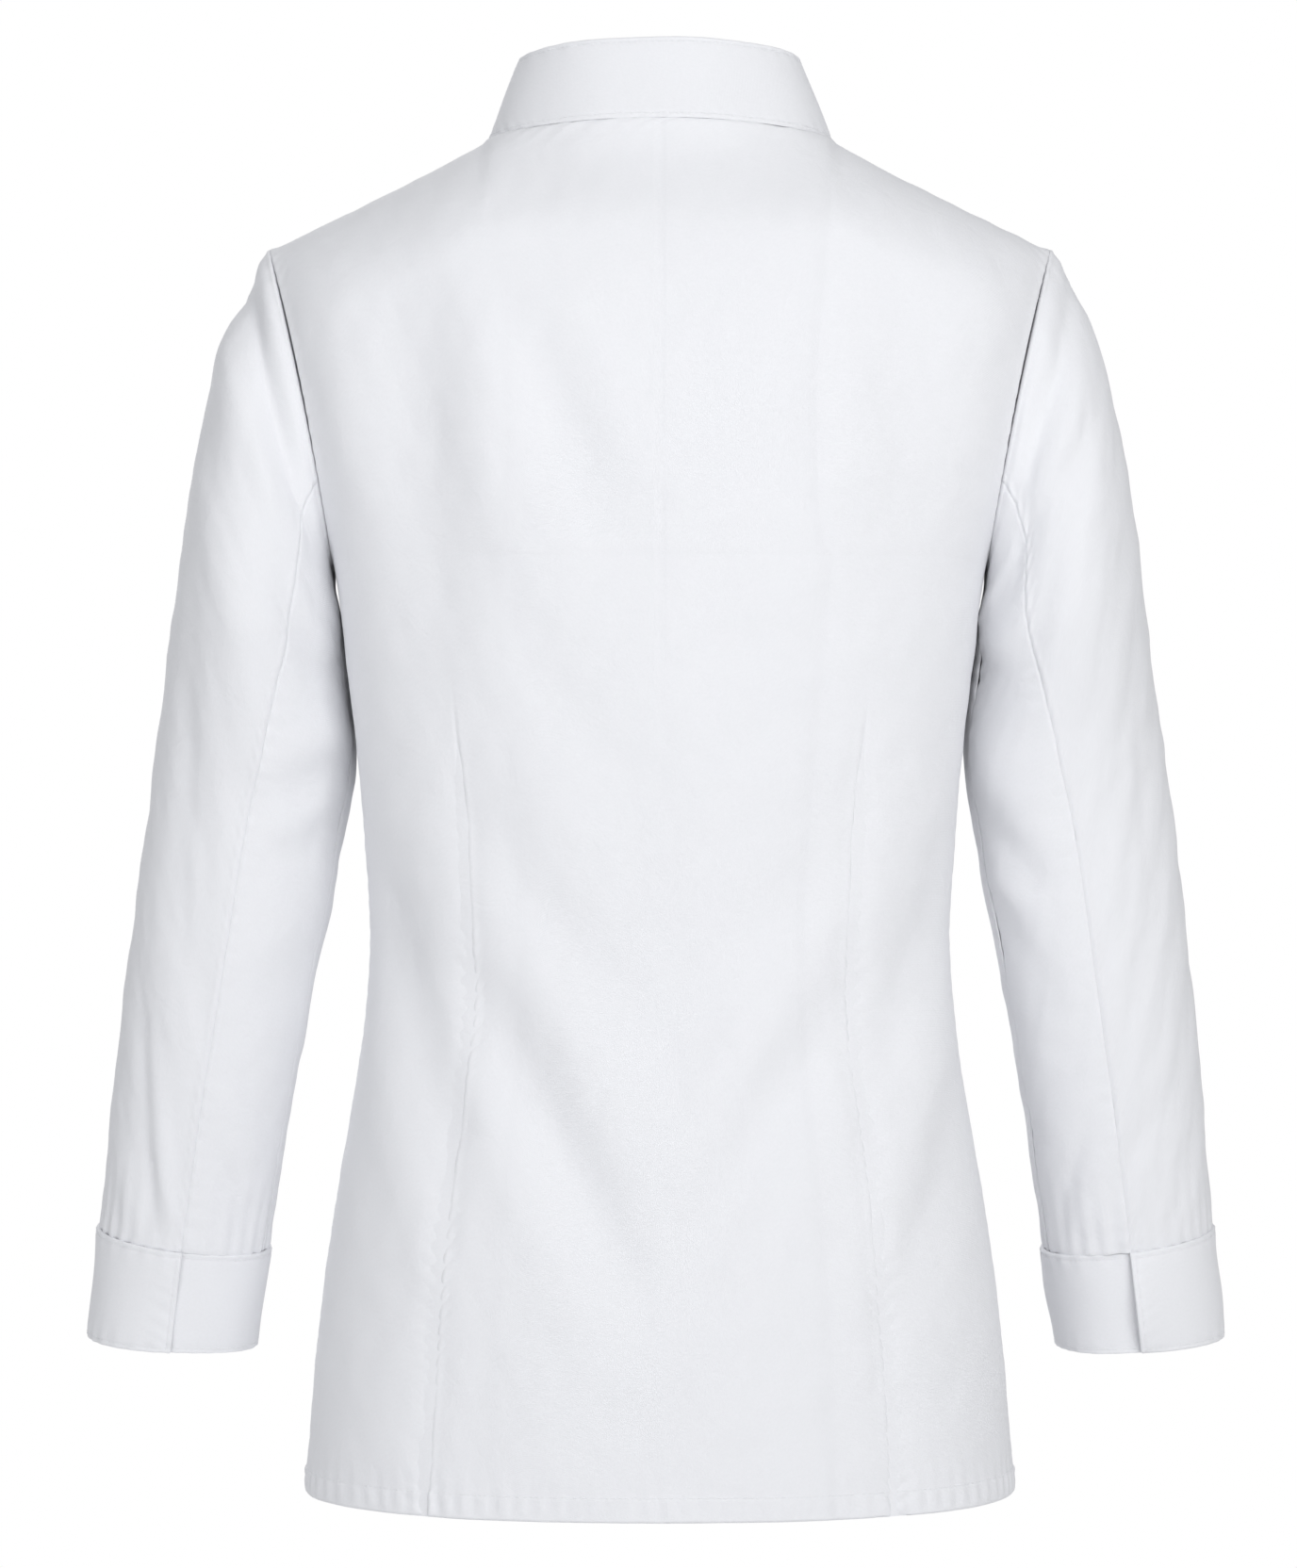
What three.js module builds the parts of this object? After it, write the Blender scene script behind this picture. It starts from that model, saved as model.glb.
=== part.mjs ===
// A woman's chef jacket, hollow and filled out as if worn, with nobody in it.
// Double-breasted fronts, a back with two long darts, two-piece sleeves, split cuffs and a stand collar.
// Millimetres, +Z up, the front faces -Y and the wearer's left is +X.
// The origin lies midway between the two points where the shoulder seams meet the neckline.

import * as THREE from "three";

// Cloth walls. Hems, turnings and interfacing are counted in, so a wall is thicker than one ply.
const CLOTH = 1.6;
const COLLAR_CLOTH = 2.4;
const CUFF_CLOTH = 2.0;
const SEAM_GAP = 0.3;

// Main sizes
const NECK_HALF_WIDTH = 89;
const NECK_BACK_DEPTH = 64;
const NECK_BACK_RISE = 3.8;
const NECK_FRONT_DEPTH = 62;
const NECK_FRONT_DROP = 65;
const SHOULDER_HALF_WIDTH = 200;
const SHOULDER_DROP = 56;
// Exponents of the slightly hollow shoulder line and of the front neckline
const SHOULDER_CURVE = 0.92;
const NECK_FRONT_CURVE = 0.75;
const UNDERARM_DROP = 217;
const HEM_DROP = 691;
// Height over which the cloth rounds over the shoulder, mostly between these distances from the middle
const SHOULDER_ROUND = 58;
const NECK_SIDE_X = 50;
const SHOULDER_SIDE_X = 100;
// Share of a panel's rows that lies beside the armhole
const ARMHOLE_SHARE = 0.42;

// Body sections by height. halfWidth is where the section would reach the side line, back and front are
// the depths at the centre lines, and square is the exponent of the section's curve.
const BODY = [
  { z: 6, halfWidth: 211, back: 64, front: 40, square: 2.4 },
  { z: -56, halfWidth: 205, back: 93, front: 59, square: 2.45 },
  { z: -100, halfWidth: 197.6, back: 104, front: 83, square: 2.5 },
  { z: -148, halfWidth: 189, back: 108, front: 106, square: 2.5 },
  { z: -217, halfWidth: 167.5, back: 107.5, front: 128, square: 2.5 },
  { z: -266, halfWidth: 161, back: 104, front: 133, square: 2.45 },
  { z: -314, halfWidth: 155.3, back: 99, front: 130, square: 2.4 },
  { z: -363, halfWidth: 151.2, back: 95, front: 123, square: 2.35 },
  { z: -411, halfWidth: 148.8, back: 94, front: 118, square: 2.3 },
  { z: -460, halfWidth: 152.5, back: 98, front: 119, square: 2.3 },
  { z: -508, halfWidth: 160.2, back: 105, front: 123, square: 2.3 },
  { z: -557, halfWidth: 168.3, back: 111, front: 126.5, square: 2.3 },
  { z: -605, halfWidth: 174.5, back: 115, front: 129, square: 2.3 },
  { z: -654, halfWidth: 179, back: 117.5, front: 130.5, square: 2.3 },
  { z: -691, halfWidth: 181.7, back: 118.5, front: 131.5, square: 2.3 },
];

// Armhole seam, as distances from the middle, from the shoulder tip down to the underarm
const ARMHOLE = [
  { z: -56, back: 200, front: 200 },
  { z: -75, back: 194.5, front: 192.5 },
  { z: -100, back: 188, front: 184 },
  { z: -124, back: 182.5, front: 177 },
  { z: -148, back: 177.5, front: 172 },
  { z: -172, back: 173.2, front: 169 },
  { z: -195, back: 169.6, front: 167.2 },
  { z: -210, back: 167.9, front: 167.3 },
  { z: -217, back: 167.5, front: 167.5 },
];

// Sleeve sections below the cap: x and y of the middle, half the width across and half the depth
const SLEEVE = [
  { z: -240, x: 208.3, y: -9, across: 42.2, deep: 66 },
  { z: -266, x: 208.4, y: -15, across: 46.2, deep: 63.5 },
  { z: -290, x: 208.6, y: -20, across: 49.4, deep: 61 },
  { z: -312, x: 209.3, y: -23, across: 51.7, deep: 59 },
  { z: -338, x: 213, y: -25, across: 51.5, deep: 56 },
  { z: -387, x: 221, y: -27, across: 50.5, deep: 52.5 },
  { z: -436, x: 229.5, y: -30, across: 48.5, deep: 49 },
  { z: -485, x: 237.5, y: -35, across: 47, deep: 46 },
  { z: -535, x: 244.5, y: -40, across: 45.5, deep: 43 },
  { z: -567, x: 249, y: -43.5, across: 44.5, deep: 41 },
  { z: -622, x: 256, y: -49, across: 43.5, deep: 40 },
];
// The right sleeve hangs this much closer to the body at the wrist.
const RIGHT_WRIST_INWARD = 4;
const SLEEVE_SWING_START_Z = -330;
const CAP_END_Z = -240;
const CUFF_SEAM_Z = -567;
const CUFF_END_Z = -622;
// Share of a sleeve's rows that lies in its cap, and how long the cap keeps to the way it leaves the armhole
const CAP_SHARE = 0.42;
const CAP_PULL = 0.72;

// Where the sleeve's back seam lies round the arm, 0 degrees being outermost and 90 the back
const BACK_SEAM = [
  { z: -172, turn: 120 },
  { z: -217, turn: 125 },
  { z: -241, turn: 121 },
  { z: -266, turn: 109 },
  { z: -300, turn: 99.5 },
  { z: -340, turn: 95.5 },
  { z: -435, turn: 95 },
  { z: -567, turn: 93 },
];
const INNER_SEAM_TURN = 165;

// Largest soft folds of the body, the same on both halves: a ridge of that height, or a trough where it is
// negative, along a line from one point to another
const BACK_FOLDS = [
  { x0: 138, z0: -78, x1: 108, z1: -240, height: -5.5, width: 22 },
  { x0: 80, z0: -105, x1: 22, z1: -225, height: -2.6, width: 17 },
  { x0: 96, z0: -358, x1: 7, z1: -470, height: -3, width: 17 },
  { x0: 86, z0: -417, x1: 4, z1: -550, height: 2.8, width: 16 },
  { x0: 94, z0: -440, x1: 8, z1: -586, height: -4.8, width: 17 },
  { x0: 143, z0: -414, x1: 107, z1: -542, height: -4.4, width: 18 },
];
const FRONT_FOLDS = [
  { x0: 140, z0: -110, x1: 112, z1: -215, height: -4, width: 22 },
  { x0: 118, z0: -300, x1: 96, z1: -440, height: -3.5, width: 22 },
  { x0: 128, z0: -470, x1: 118, z1: -640, height: 3, width: 24 },
];

// Folds of the sleeves, from one turn and share of the length to another
const SLEEVE_FOLDS = [
  { turn0: 20, share0: 0.09, turn1: 115, share1: 0.1, height: -3.4, width: 0.045 },
  { turn0: 40, share0: 0.2, turn1: 112, share1: 0.31, height: 2.2, width: 0.05 },
  { turn0: -60, share0: 0.52, turn1: -130, share1: 0.6, height: -3, width: 0.035 },
  { turn0: -70, share0: 0.68, turn1: -140, share1: 0.62, height: -2.4, width: 0.035 },
];
// How wide a fold of the sleeve is round the arm, in degrees, for each whole length of the sleeve
const SLEEVE_FOLD_SPREAD = 500;

// The two long darts of the back lie at this share of its half width, as shallow valleys.
const DART_SHARE = 0.407;
const DART_TOP_Z = -275;
const DART_DEPTH = 1.6;
const DART_HALF_WIDTH = 0.022;

// Collar and the front closing
const COLLAR_TOP_HALF_WIDTH = 73;
const COLLAR_TOP_BACK = 52;
const COLLAR_TOP_FRONT = 61;
const COLLAR_SIDE_HEIGHT = 41.5;
const COLLAR_BACK_RISE = 4.8;
const COLLAR_FRONT_DROP = 64.5;
const COLLAR_END_TURN = 175;
const COLLAR_CORNER_TURN = 10;
const COLLAR_CORNER_DROP = 0.16;
const COLLAR_SEAM_GAP = 0.35;
const LAP_TOP = 80;
const LAP_HEM = 72;
const LAP_TOP_FALL = 7;
const LAP_LIFT = CLOTH + 1.5;
const LAP_LIFT_START_Z = -12;
const LAP_LIFT_FULL_Z = -52;

// Cuffs: one band that laps over itself at the back seam
const CUFF_EASE = 1.4;
const CUFF_LAP_TURN = 12;
const CUFF_EDGE_TURN = 94;

// Buttons
const BUTTON_ROWS = 5;
const BUTTON_RADIUS = 9;
const BUTTON_HEIGHT = 3.2;
const BUTTON_TOP_Z = -92;
const BUTTON_PITCH = 92;
const BUTTON_TOP_X = 62;
const BUTTON_BOTTOM_X = 54;
// How far a button stands off the cloth's true curve. The top right one sits lower, because the facets cut
// under the round of the chest there.
const BUTTON_GAP = 0.45;
const TOP_RIGHT_BUTTON_GAP = -0.3;

const WHITE_CLOTH = { color: 0xeeeff3, roughness: 0.85, metalness: 0 };
const WHITE_BUTTON = { color: 0xf2f2f0, roughness: 0.35, metalness: 0 };

const { sin, cos, sqrt, abs, min, max, PI, sign } = Math;
const rad = THREE.MathUtils.degToRad;
const lerp = THREE.MathUtils.lerp;
const vec = (x, y, z) => new THREE.Vector3(x, y, z);
const smooth = (low, high, value) => THREE.MathUtils.smoothstep(value, low, high);

// Reads a column of a table at a height, with a smooth curve through its rows.
function columnAt(table, name, z) {
  const last = table.length - 1;
  let k = 0;
  while (k < last - 1 && z < table[k + 1].z) k++;
  const slope = (i, j) => (table[j][name] - table[i][name]) / (table[j].z - table[i].z);
  const here = slope(k, k + 1);
  const start = k > 0 ? (slope(k - 1, k) + here) / 2 : here;
  const end = k + 2 <= last ? (here + slope(k + 1, k + 2)) / 2 : here;
  const span = table[k + 1].z - table[k].z;
  const q = min(1, max(0, (z - table[k].z) / span));
  return (
    table[k][name] * (1 + 2 * q) * (1 - q) ** 2 +
    start * span * q * (1 - q) ** 2 +
    table[k + 1][name] * q * q * (3 - 2 * q) +
    end * span * q * q * (q - 1)
  );
}

// Height of the neckline and shoulder seam at a distance from the middle
function topLine(side, x) {
  const out = abs(x);
  if (out >= NECK_HALF_WIDTH) {
    const along = (out - NECK_HALF_WIDTH) / (SHOULDER_HALF_WIDTH - NECK_HALF_WIDTH);
    return -SHOULDER_DROP * along ** SHOULDER_CURVE;
  }
  const inward = 1 - (out / NECK_HALF_WIDTH) ** 2;
  return side > 0 ? NECK_BACK_RISE * inward : -NECK_FRONT_DROP * inward ** NECK_FRONT_CURVE;
}

// Depth of the neckline at a distance from the middle, zero on the shoulder seam
function topDepth(side, x) {
  const inward = sqrt(max(0, 1 - (x / NECK_HALF_WIDTH) ** 2));
  return inward * (side > 0 ? NECK_BACK_DEPTH : NECK_FRONT_DEPTH);
}

// Body surface: side is +1 on the back and -1 on the front. It rounds over the shoulder below the top line.
function bodyDepth(side, x, z) {
  const square = columnAt(BODY, "square", z);
  const halfWidth = columnAt(BODY, "halfWidth", z);
  const depth = columnAt(BODY, side > 0 ? "back" : "front", z);
  const full = depth * max(0, 1 - (abs(x) / halfWidth) ** square) ** (1 / square);
  const below = min(1, max(0, (topLine(side, x) - z) / SHOULDER_ROUND));
  const atShoulder = smooth(NECK_SIDE_X, SHOULDER_SIDE_X, abs(x));
  const round = lerp(sin((below * PI) / 2), sqrt(1 - (1 - below) ** 2), atShoulder);
  return SEAM_GAP / 2 + lerp(topDepth(side, x), full, round);
}

// How far soft folds lift the cloth at a point
function foldLift(folds, x, z) {
  let lift = 0;
  for (const fold of folds) {
    const dx = fold.x1 - fold.x0;
    const dz = fold.z1 - fold.z0;
    const along = ((abs(x) - fold.x0) * dx + (z - fold.z0) * dz) / (dx * dx + dz * dz);
    const near = min(1, max(0, along));
    const away = Math.hypot(abs(x) - fold.x0 - near * dx, z - fold.z0 - near * dz);
    lift += fold.height * Math.exp(-((away / fold.width) ** 2));
  }
  return lift;
}

// Half of a body section from the middle to its edge: share 0 is the middle and 1 the armhole or side seam
function bodyPlace(side, share, edgeZ) {
  const square = columnAt(BODY, "square", edgeZ);
  const halfWidth = columnAt(BODY, "halfWidth", edgeZ);
  const beside = edgeZ > -UNDERARM_DROP;
  const edge = beside ? columnAt(ARMHOLE, side > 0 ? "back" : "front", edgeZ) : halfWidth;
  const widest = Math.asin(min(1, edge / halfWidth) ** (square / 2));
  const x = halfWidth * sin(abs(share) * widest) ** (2 / square);
  return sign(share) * x;
}

// Rows run level below the underarm and bend up to the neckline and shoulder seam above it.
function rowHeight(side, x, edgeZ) {
  const rise = 1 - smooth(SHOULDER_DROP, UNDERARM_DROP, -edgeZ);
  return edgeZ + (topLine(side, x) + SHOULDER_DROP) * rise;
}

// Height of the armhole at a turn round it: 0 is the shoulder tip, 90 the back and 180 the underarm
function armholeHeight(turn) {
  const middle = -(SHOULDER_DROP + UNDERARM_DROP) / 2;
  return middle + ((UNDERARM_DROP - SHOULDER_DROP) / 2) * cos(turn);
}

// Edge heights of the rows: down the armhole by equal turns, then down the side seam
function edgeHeight(t) {
  if (t < ARMHOLE_SHARE) return armholeHeight((PI * t) / ARMHOLE_SHARE);
  return lerp(-UNDERARM_DROP, -HEM_DROP, (t - ARMHOLE_SHARE) / (1 - ARMHOLE_SHARE));
}

// Folds die away towards the seams round a panel
const awayFromSeams = (share, t) => (1 - smooth(0.7, 0.98, abs(share))) * smooth(0, 0.2, t);

function backPoint(share, t) {
  const edgeZ = edgeHeight(t);
  const x = bodyPlace(1, share, edgeZ);
  const z = rowHeight(1, x, edgeZ);
  const dart = max(0, 1 - abs(abs(share) - DART_SHARE) / DART_HALF_WIDTH) * smooth(0, 60, DART_TOP_Z - z);
  const lift = foldLift(BACK_FOLDS, x, z) * awayFromSeams(share, t) - DART_DEPTH * dart;
  return vec(x, bodyDepth(1, x, z) + lift, z);
}

// A front reaches from its side seam, share -1, over the middle, share 0, to its free edge, share 1.
// It is worked out for the wearer's right, which laps over, and mirrored for the left, which lies under.
function frontPoint(share, t, over) {
  const edgeZ = edgeHeight(t);
  const lapEdge = lerp(LAP_TOP, LAP_HEM, t);
  const x = share < 0 ? bodyPlace(-1, share, edgeZ) : share * lapEdge;
  const top = share < 0 ? topLine(-1, x) : -NECK_FRONT_DROP - LAP_TOP_FALL * share;
  const rise = 1 - smooth(SHOULDER_DROP, UNDERARM_DROP, -edgeZ);
  const z = edgeZ + (top + SHOULDER_DROP) * rise;
  const folds = foldLift(FRONT_FOLDS, x, z) * awayFromSeams(min(share, 0), t);
  const lift = folds + (over ? lapLift(x, z) : 0);
  return vec(over ? x : -x, -bodyDepth(-1, x, z) - lift, z);
}

// How far the upper front stands off to lie over the lower one
function lapLift(x, z) {
  return LAP_LIFT * smooth(-LAP_TOP - 45, -LAP_TOP - 6, x) * smooth(-LAP_LIFT_START_Z, -LAP_LIFT_FULL_Z, -z);
}

function armholePoint(turn) {
  const side = sin(turn) >= 0 ? 1 : -1;
  const z = armholeHeight(turn);
  const x = columnAt(ARMHOLE, side > 0 ? "back" : "front", z);
  return vec(x, side * bodyDepth(side, x, z), z);
}

// Direction outwards from the body at its armhole edge
function bodyNormal(turn) {
  const side = sin(turn) >= 0 ? 1 : -1;
  const { x, z } = armholePoint(turn);
  const at = (px, pz) => vec(px, side * bodyDepth(side, px, pz), pz);
  const across = at(x, z).sub(at(x - 0.05, z));
  const down = at(x - 0.05, z - 0.05).sub(at(x - 0.05, z));
  return across.cross(down).multiplyScalar(side).normalize();
}

// The armhole seam at a turn: the direction in which the sleeve leaves it, the mitre along which both walls
// get their thickness there, and the way across the seam from the body to the sleeve
function armholeSeam(turn) {
  const top = 0.5 + 0.5 * cos(turn);
  const out = 0.2 + 0.52 * sqrt(top) + 0.16 * abs(sin(turn));
  const leaving = vec(out, 0.32 * sin(turn), 0.36 * abs(sin(turn)) - 0.8).normalize();
  const tangent = armholePoint(turn + 1e-3).sub(armholePoint(turn - 1e-3)).normalize();
  const sleeveNormal = leaving.clone().cross(tangent).normalize();
  const mitre = bodyNormal(turn).add(sleeveNormal).add(vec(0, 0, -0.5 * (1 - top) ** 2));
  if (abs(sin(turn)) < 1e-6) mitre.y = 0;
  mitre.normalize();
  return { leaving, mitre, across: tangent.cross(mitre).normalize() };
}

// How far the soft folds lift the sleeve, given the turn in degrees
function sleeveFoldLift(degrees, t) {
  let lift = 0;
  for (const fold of SLEEVE_FOLDS) {
    const dTurn = (fold.turn1 - fold.turn0) / SLEEVE_FOLD_SPREAD;
    const dShare = fold.share1 - fold.share0;
    const fromTurn = (degrees - fold.turn0) / SLEEVE_FOLD_SPREAD;
    const fromShare = t - fold.share0;
    const along = (fromTurn * dTurn + fromShare * dShare) / (dTurn ** 2 + dShare ** 2);
    const near = min(1, max(0, along));
    const away = Math.hypot(fromTurn - near * dTurn, fromShare - near * dShare);
    lift += fold.height * Math.exp(-((away / fold.width) ** 2));
  }
  return lift * smooth(0, 0.06, t) * (1 - smooth(0.94, 1, t));
}

// Point of a sleeve section at a height of its middle, square to the line of the arm
function sleeveRing(turn, z, ease = 0) {
  const middle = (h) => vec(columnAt(SLEEVE, "x", h), columnAt(SLEEVE, "y", h), h);
  const along = middle(z - 4).sub(middle(min(z + 4, CAP_END_Z))).normalize();
  const outward = vec(1, 0, 0).addScaledVector(along, -along.x).normalize();
  const backward = outward.clone().cross(along).normalize();
  const across = columnAt(SLEEVE, "across", z) + ease;
  const deep = columnAt(SLEEVE, "deep", z) + ease;
  return middle(z)
    .addScaledVector(outward, across * cos(turn))
    .addScaledVector(backward, deep * sin(turn));
}

// Left sleeve's surface for a turn round the arm and a share t of its length from armhole to cuff
function sleevePoint(turn, t) {
  const degrees = turn < -PI ? turn / rad(1) + 360 : turn / rad(1);
  const fold = sleeveFoldLift(degrees, t);
  if (t >= CAP_SHARE) {
    const down = (t - CAP_SHARE) / (1 - CAP_SHARE);
    return sleeveRing(turn, lerp(CAP_END_Z, CUFF_SEAM_Z, down), fold);
  }
  const { leaving, across } = armholeSeam(turn);
  const start = armholePoint(turn).addScaledVector(across, SEAM_GAP);
  const end = sleeveRing(turn, CAP_END_Z);
  const arriving = sleeveRing(turn, CAP_END_Z - 6).sub(end).normalize();
  const pull = CAP_PULL * start.distanceTo(end);
  const q = t / CAP_SHARE;
  return start
    .multiplyScalar((1 + 2 * q) * (1 - q) ** 2)
    .addScaledVector(leaving, pull * q * (1 - q) ** 2)
    .addScaledVector(end, q * q * (3 - 2 * q))
    .addScaledVector(arriving, pull * q * q * (q - 1))
    .add(vec(fold * cos(turn), fold * sin(turn), 0));
}

function backSeamTurn(t) {
  const length = min(1, max(0, (t - CAP_SHARE) / (1 - CAP_SHARE)));
  const capZ = lerp(-172, CAP_END_Z, min(1, t / CAP_SHARE));
  const z = t < CAP_SHARE ? capZ : lerp(CAP_END_Z, CUFF_SEAM_Z, length);
  return rad(columnAt(BACK_SEAM, "turn", z));
}

// Cuff surface: u runs once round and over the lap, v from the seam to the lower edge
function cuffPoint(u, v) {
  const turn = CUFF_EDGE_TURN - CUFF_LAP_TURN + u * (360 + CUFF_LAP_TURN);
  const under = 1 - smooth(CUFF_EDGE_TURN - 4, CUFF_EDGE_TURN + 42, turn);
  const z = lerp(CUFF_SEAM_Z - SEAM_GAP, CUFF_END_Z, v);
  return sleeveRing(rad(turn), z, CUFF_EASE - under * (CUFF_CLOTH + 0.6));
}

// Edge of the neckline at a turn: 0 is the middle of the back, 180 the middle of the front
function neckPoint(turn) {
  const x = NECK_HALF_WIDTH * sin(turn);
  const side = cos(turn) >= 0 ? 1 : -1;
  const z = topLine(side, x);
  const lift = side < 0 && x < 0 ? lapLift(x, z) : 0;
  return vec(x, side * (bodyDepth(side, x, z) + lift), z);
}

// Collar surface for a turn round the neck and a share v of its height from the neckline
function collarPoint(turn, v) {
  const back = max(0, cos(turn));
  const front = max(0, -cos(turn));
  const foot = neckPoint(turn);
  const rim = vec(
    COLLAR_TOP_HALF_WIDTH * sin(turn),
    COLLAR_TOP_BACK * back - COLLAR_TOP_FRONT * front,
    COLLAR_SIDE_HEIGHT + COLLAR_BACK_RISE * back - COLLAR_FRONT_DROP * front ** (2 * NECK_FRONT_CURVE),
  );
  const toEnd = smooth(COLLAR_END_TURN - COLLAR_CORNER_TURN, COLLAR_END_TURN, abs(turn) / rad(1));
  const up = rim.sub(foot).multiplyScalar(1 - COLLAR_CORNER_DROP * toEnd ** 2);
  return foot.addScaledVector(up, v + (1 - v) * (COLLAR_SEAM_GAP / up.length()));
}

// Builds a closed wall under a surface of two shares, each from 0 to 1. rows and columns are the shares to
// sample, and seamNormal may give another direction for the wall's thickness along an edge.
function wall(surface, columns, rows, thickness, seamNormal = () => null) {
  const step = 1e-4;
  const inside = (value) => min(1, max(0, value));
  const normalAt = (u, v) => {
    const acrossU = surface(inside(u + step), v).sub(surface(inside(u - step), v));
    const acrossV = surface(u, inside(v + step)).sub(surface(u, inside(v - step)));
    return acrossU.cross(acrossV).normalize();
  };
  const outer = columns.map((u) => rows.map((v) => surface(u, v)));
  const inner = columns.map((u, i) =>
    rows.map((v, j) => {
      const away = seamNormal(u, v) ?? normalAt(u, v);
      return outer[i][j].clone().addScaledVector(away, -thickness);
    }),
  );
  const corners = [];
  const quad = (a, b, c, d) => corners.push(a, b, c, a, c, d);
  const lastColumn = columns.length - 1;
  const lastRow = rows.length - 1;
  for (let i = 0; i < lastColumn; i++)
    for (let j = 0; j < lastRow; j++) {
      quad(outer[i][j], outer[i + 1][j], outer[i + 1][j + 1], outer[i][j + 1]);
      quad(inner[i][j], inner[i][j + 1], inner[i + 1][j + 1], inner[i + 1][j]);
    }
  for (let i = 0; i < lastColumn; i++) {
    quad(outer[i][0], inner[i][0], inner[i + 1][0], outer[i + 1][0]);
    quad(outer[i + 1][lastRow], inner[i + 1][lastRow], inner[i][lastRow], outer[i][lastRow]);
  }
  for (let j = 0; j < lastRow; j++) {
    quad(outer[0][j + 1], inner[0][j + 1], inner[0][j], outer[0][j]);
    quad(inner[lastColumn][j], inner[lastColumn][j + 1], outer[lastColumn][j + 1], outer[lastColumn][j]);
  }
  return new THREE.BufferGeometry().setFromPoints(corners);
}

// The right sleeve is the left one in a mirror, a little closer in at the wrist. Its first share is
// reversed so that it still faces outwards.
const mirrored = (surface) => (u, v) => {
  const point = surface(1 - u, v);
  const inward = RIGHT_WRIST_INWARD * smooth(-SLEEVE_SWING_START_Z, -CUFF_END_Z, -point.z);
  return vec(inward - point.x, point.y, point.z);
};

const evenly = (count, low = 0, high = 1) =>
  Array.from({ length: count + 1 }, (_, i) => lerp(low, high, i / count));

const jacket = new THREE.Group();

function add(name, geometry, look) {
  const mesh = new THREE.Mesh(geometry, new THREE.MeshStandardMaterial(look));
  mesh.name = name;
  jacket.add(mesh);
  return mesh;
}

// Direction of a panel's thickness on its armhole edge, or null below the armhole
function edgeMitre(side, v) {
  if (v > ARMHOLE_SHARE + 1e-9) return null;
  return armholeSeam((side * PI * v) / ARMHOLE_SHARE).mitre;
}

const ARMHOLE_ROWS = 12;
const BODY_ROWS = [...evenly(ARMHOLE_ROWS, 0, ARMHOLE_SHARE), ...evenly(14, ARMHOLE_SHARE, 1).slice(1)];
const BACK_NECK_TURNS = [0, 15, 30, 45, 60, 75, 90];
const FRONT_NECK_TURNS = [180, 175, 170, 165, 150, 135, 120, 105, 90];

// Share of the body's half width that lies below a turn round the neckline
function neckShare(degrees) {
  const square = columnAt(BODY, "square", -SHOULDER_DROP);
  const halfWidth = columnAt(BODY, "halfWidth", -SHOULDER_DROP);
  const turnOf = (x) => Math.asin((x / halfWidth) ** (square / 2));
  return turnOf(NECK_HALF_WIDTH * sin(rad(degrees))) / turnOf(SHOULDER_HALF_WIDTH);
}

function addBack() {
  const dart = [-DART_HALF_WIDTH, 0, DART_HALF_WIDTH].map((off) => DART_SHARE + off);
  const half = [...BACK_NECK_TURNS.map(neckShare), 0.33, ...dart, 0.5, 0.6, 0.7, 0.8, 0.9, 1];
  const shares = [...half.slice(1).reverse().map((s) => -s), ...half];
  const surface = (u, v) => backPoint(2 * u - 1, v);
  const mitre = (u, v) => {
    if (u > 0 && u < 1) return null;
    return edgeMitre(1, v)?.multiply(vec(u > 0 ? 1 : -1, 1, 1)) ?? null;
  };
  const columns = shares.map((s) => (s + 1) / 2);
  add("back", wall(surface, columns, BODY_ROWS, CLOTH, mitre), WHITE_CLOTH);
}

// Columns run from the wearer's left to their right on both fronts, so that both face outwards.
function addFront(name, over) {
  const way = over ? -1 : 1;
  const neck = FRONT_NECK_TURNS.map(neckShare);
  const body = [...neck, ...evenly(7, neck[neck.length - 1], 1).slice(1)].map((s) => -s);
  const shares = [...body.reverse(), ...evenly(6).slice(1)];
  const surface = (u, v) => frontPoint(way * (2 * u - 1), v, over);
  const mitre = (u, v) => {
    if (u !== (over ? 1 : 0)) return null;
    return edgeMitre(-1, v)?.multiply(vec(way, 1, 1)) ?? null;
  };
  const columns = shares.map((s) => (way * s + 1) / 2).sort((a, b) => a - b);
  add(name, wall(surface, columns, BODY_ROWS, CLOTH, mitre), WHITE_CLOTH);
}

const SLEEVE_ROWS = [...evenly(6, 0, CAP_SHARE), ...evenly(8, CAP_SHARE, 1).slice(1)];

// The upper panel runs from the inner seam round the front and outside to the back seam.
function addSleeve(side, left) {
  const gap = rad(0.25);
  const inner = rad(INNER_SEAM_TURN);
  const panels = [
    {
      name: `sleeve_${side}_upper`,
      columns: evenly(21),
      turn: (u, t) => lerp(inner - 2 * PI + gap, backSeamTurn(t) - gap, u),
    },
    {
      name: `sleeve_${side}_under`,
      columns: evenly(3),
      turn: (u, t) => lerp(backSeamTurn(t) + gap, inner - gap, u),
    },
  ];
  for (const { name, columns, turn } of panels) {
    const surface = (u, t) => sleevePoint(turn(1 - u, t), t);
    const mitre = (u, t) => (t === 0 ? armholeSeam(turn(1 - u, 0)).mitre : null);
    const shown = left ? surface : mirrored(surface);
    const shownMitre = left ? mitre : (u, t) => mitre(1 - u, t)?.multiply(vec(-1, 1, 1)) ?? null;
    add(name, wall(shown, columns, SLEEVE_ROWS, CLOTH, shownMitre), WHITE_CLOTH);
  }
}

function addCuff(side, left) {
  const surface = (u, v) => cuffPoint(1 - u, v);
  const shown = left ? surface : mirrored(surface);
  add(`cuff_${side}`, wall(shown, evenly(30), evenly(2), CUFF_CLOTH), WHITE_CLOTH);
}

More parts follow.
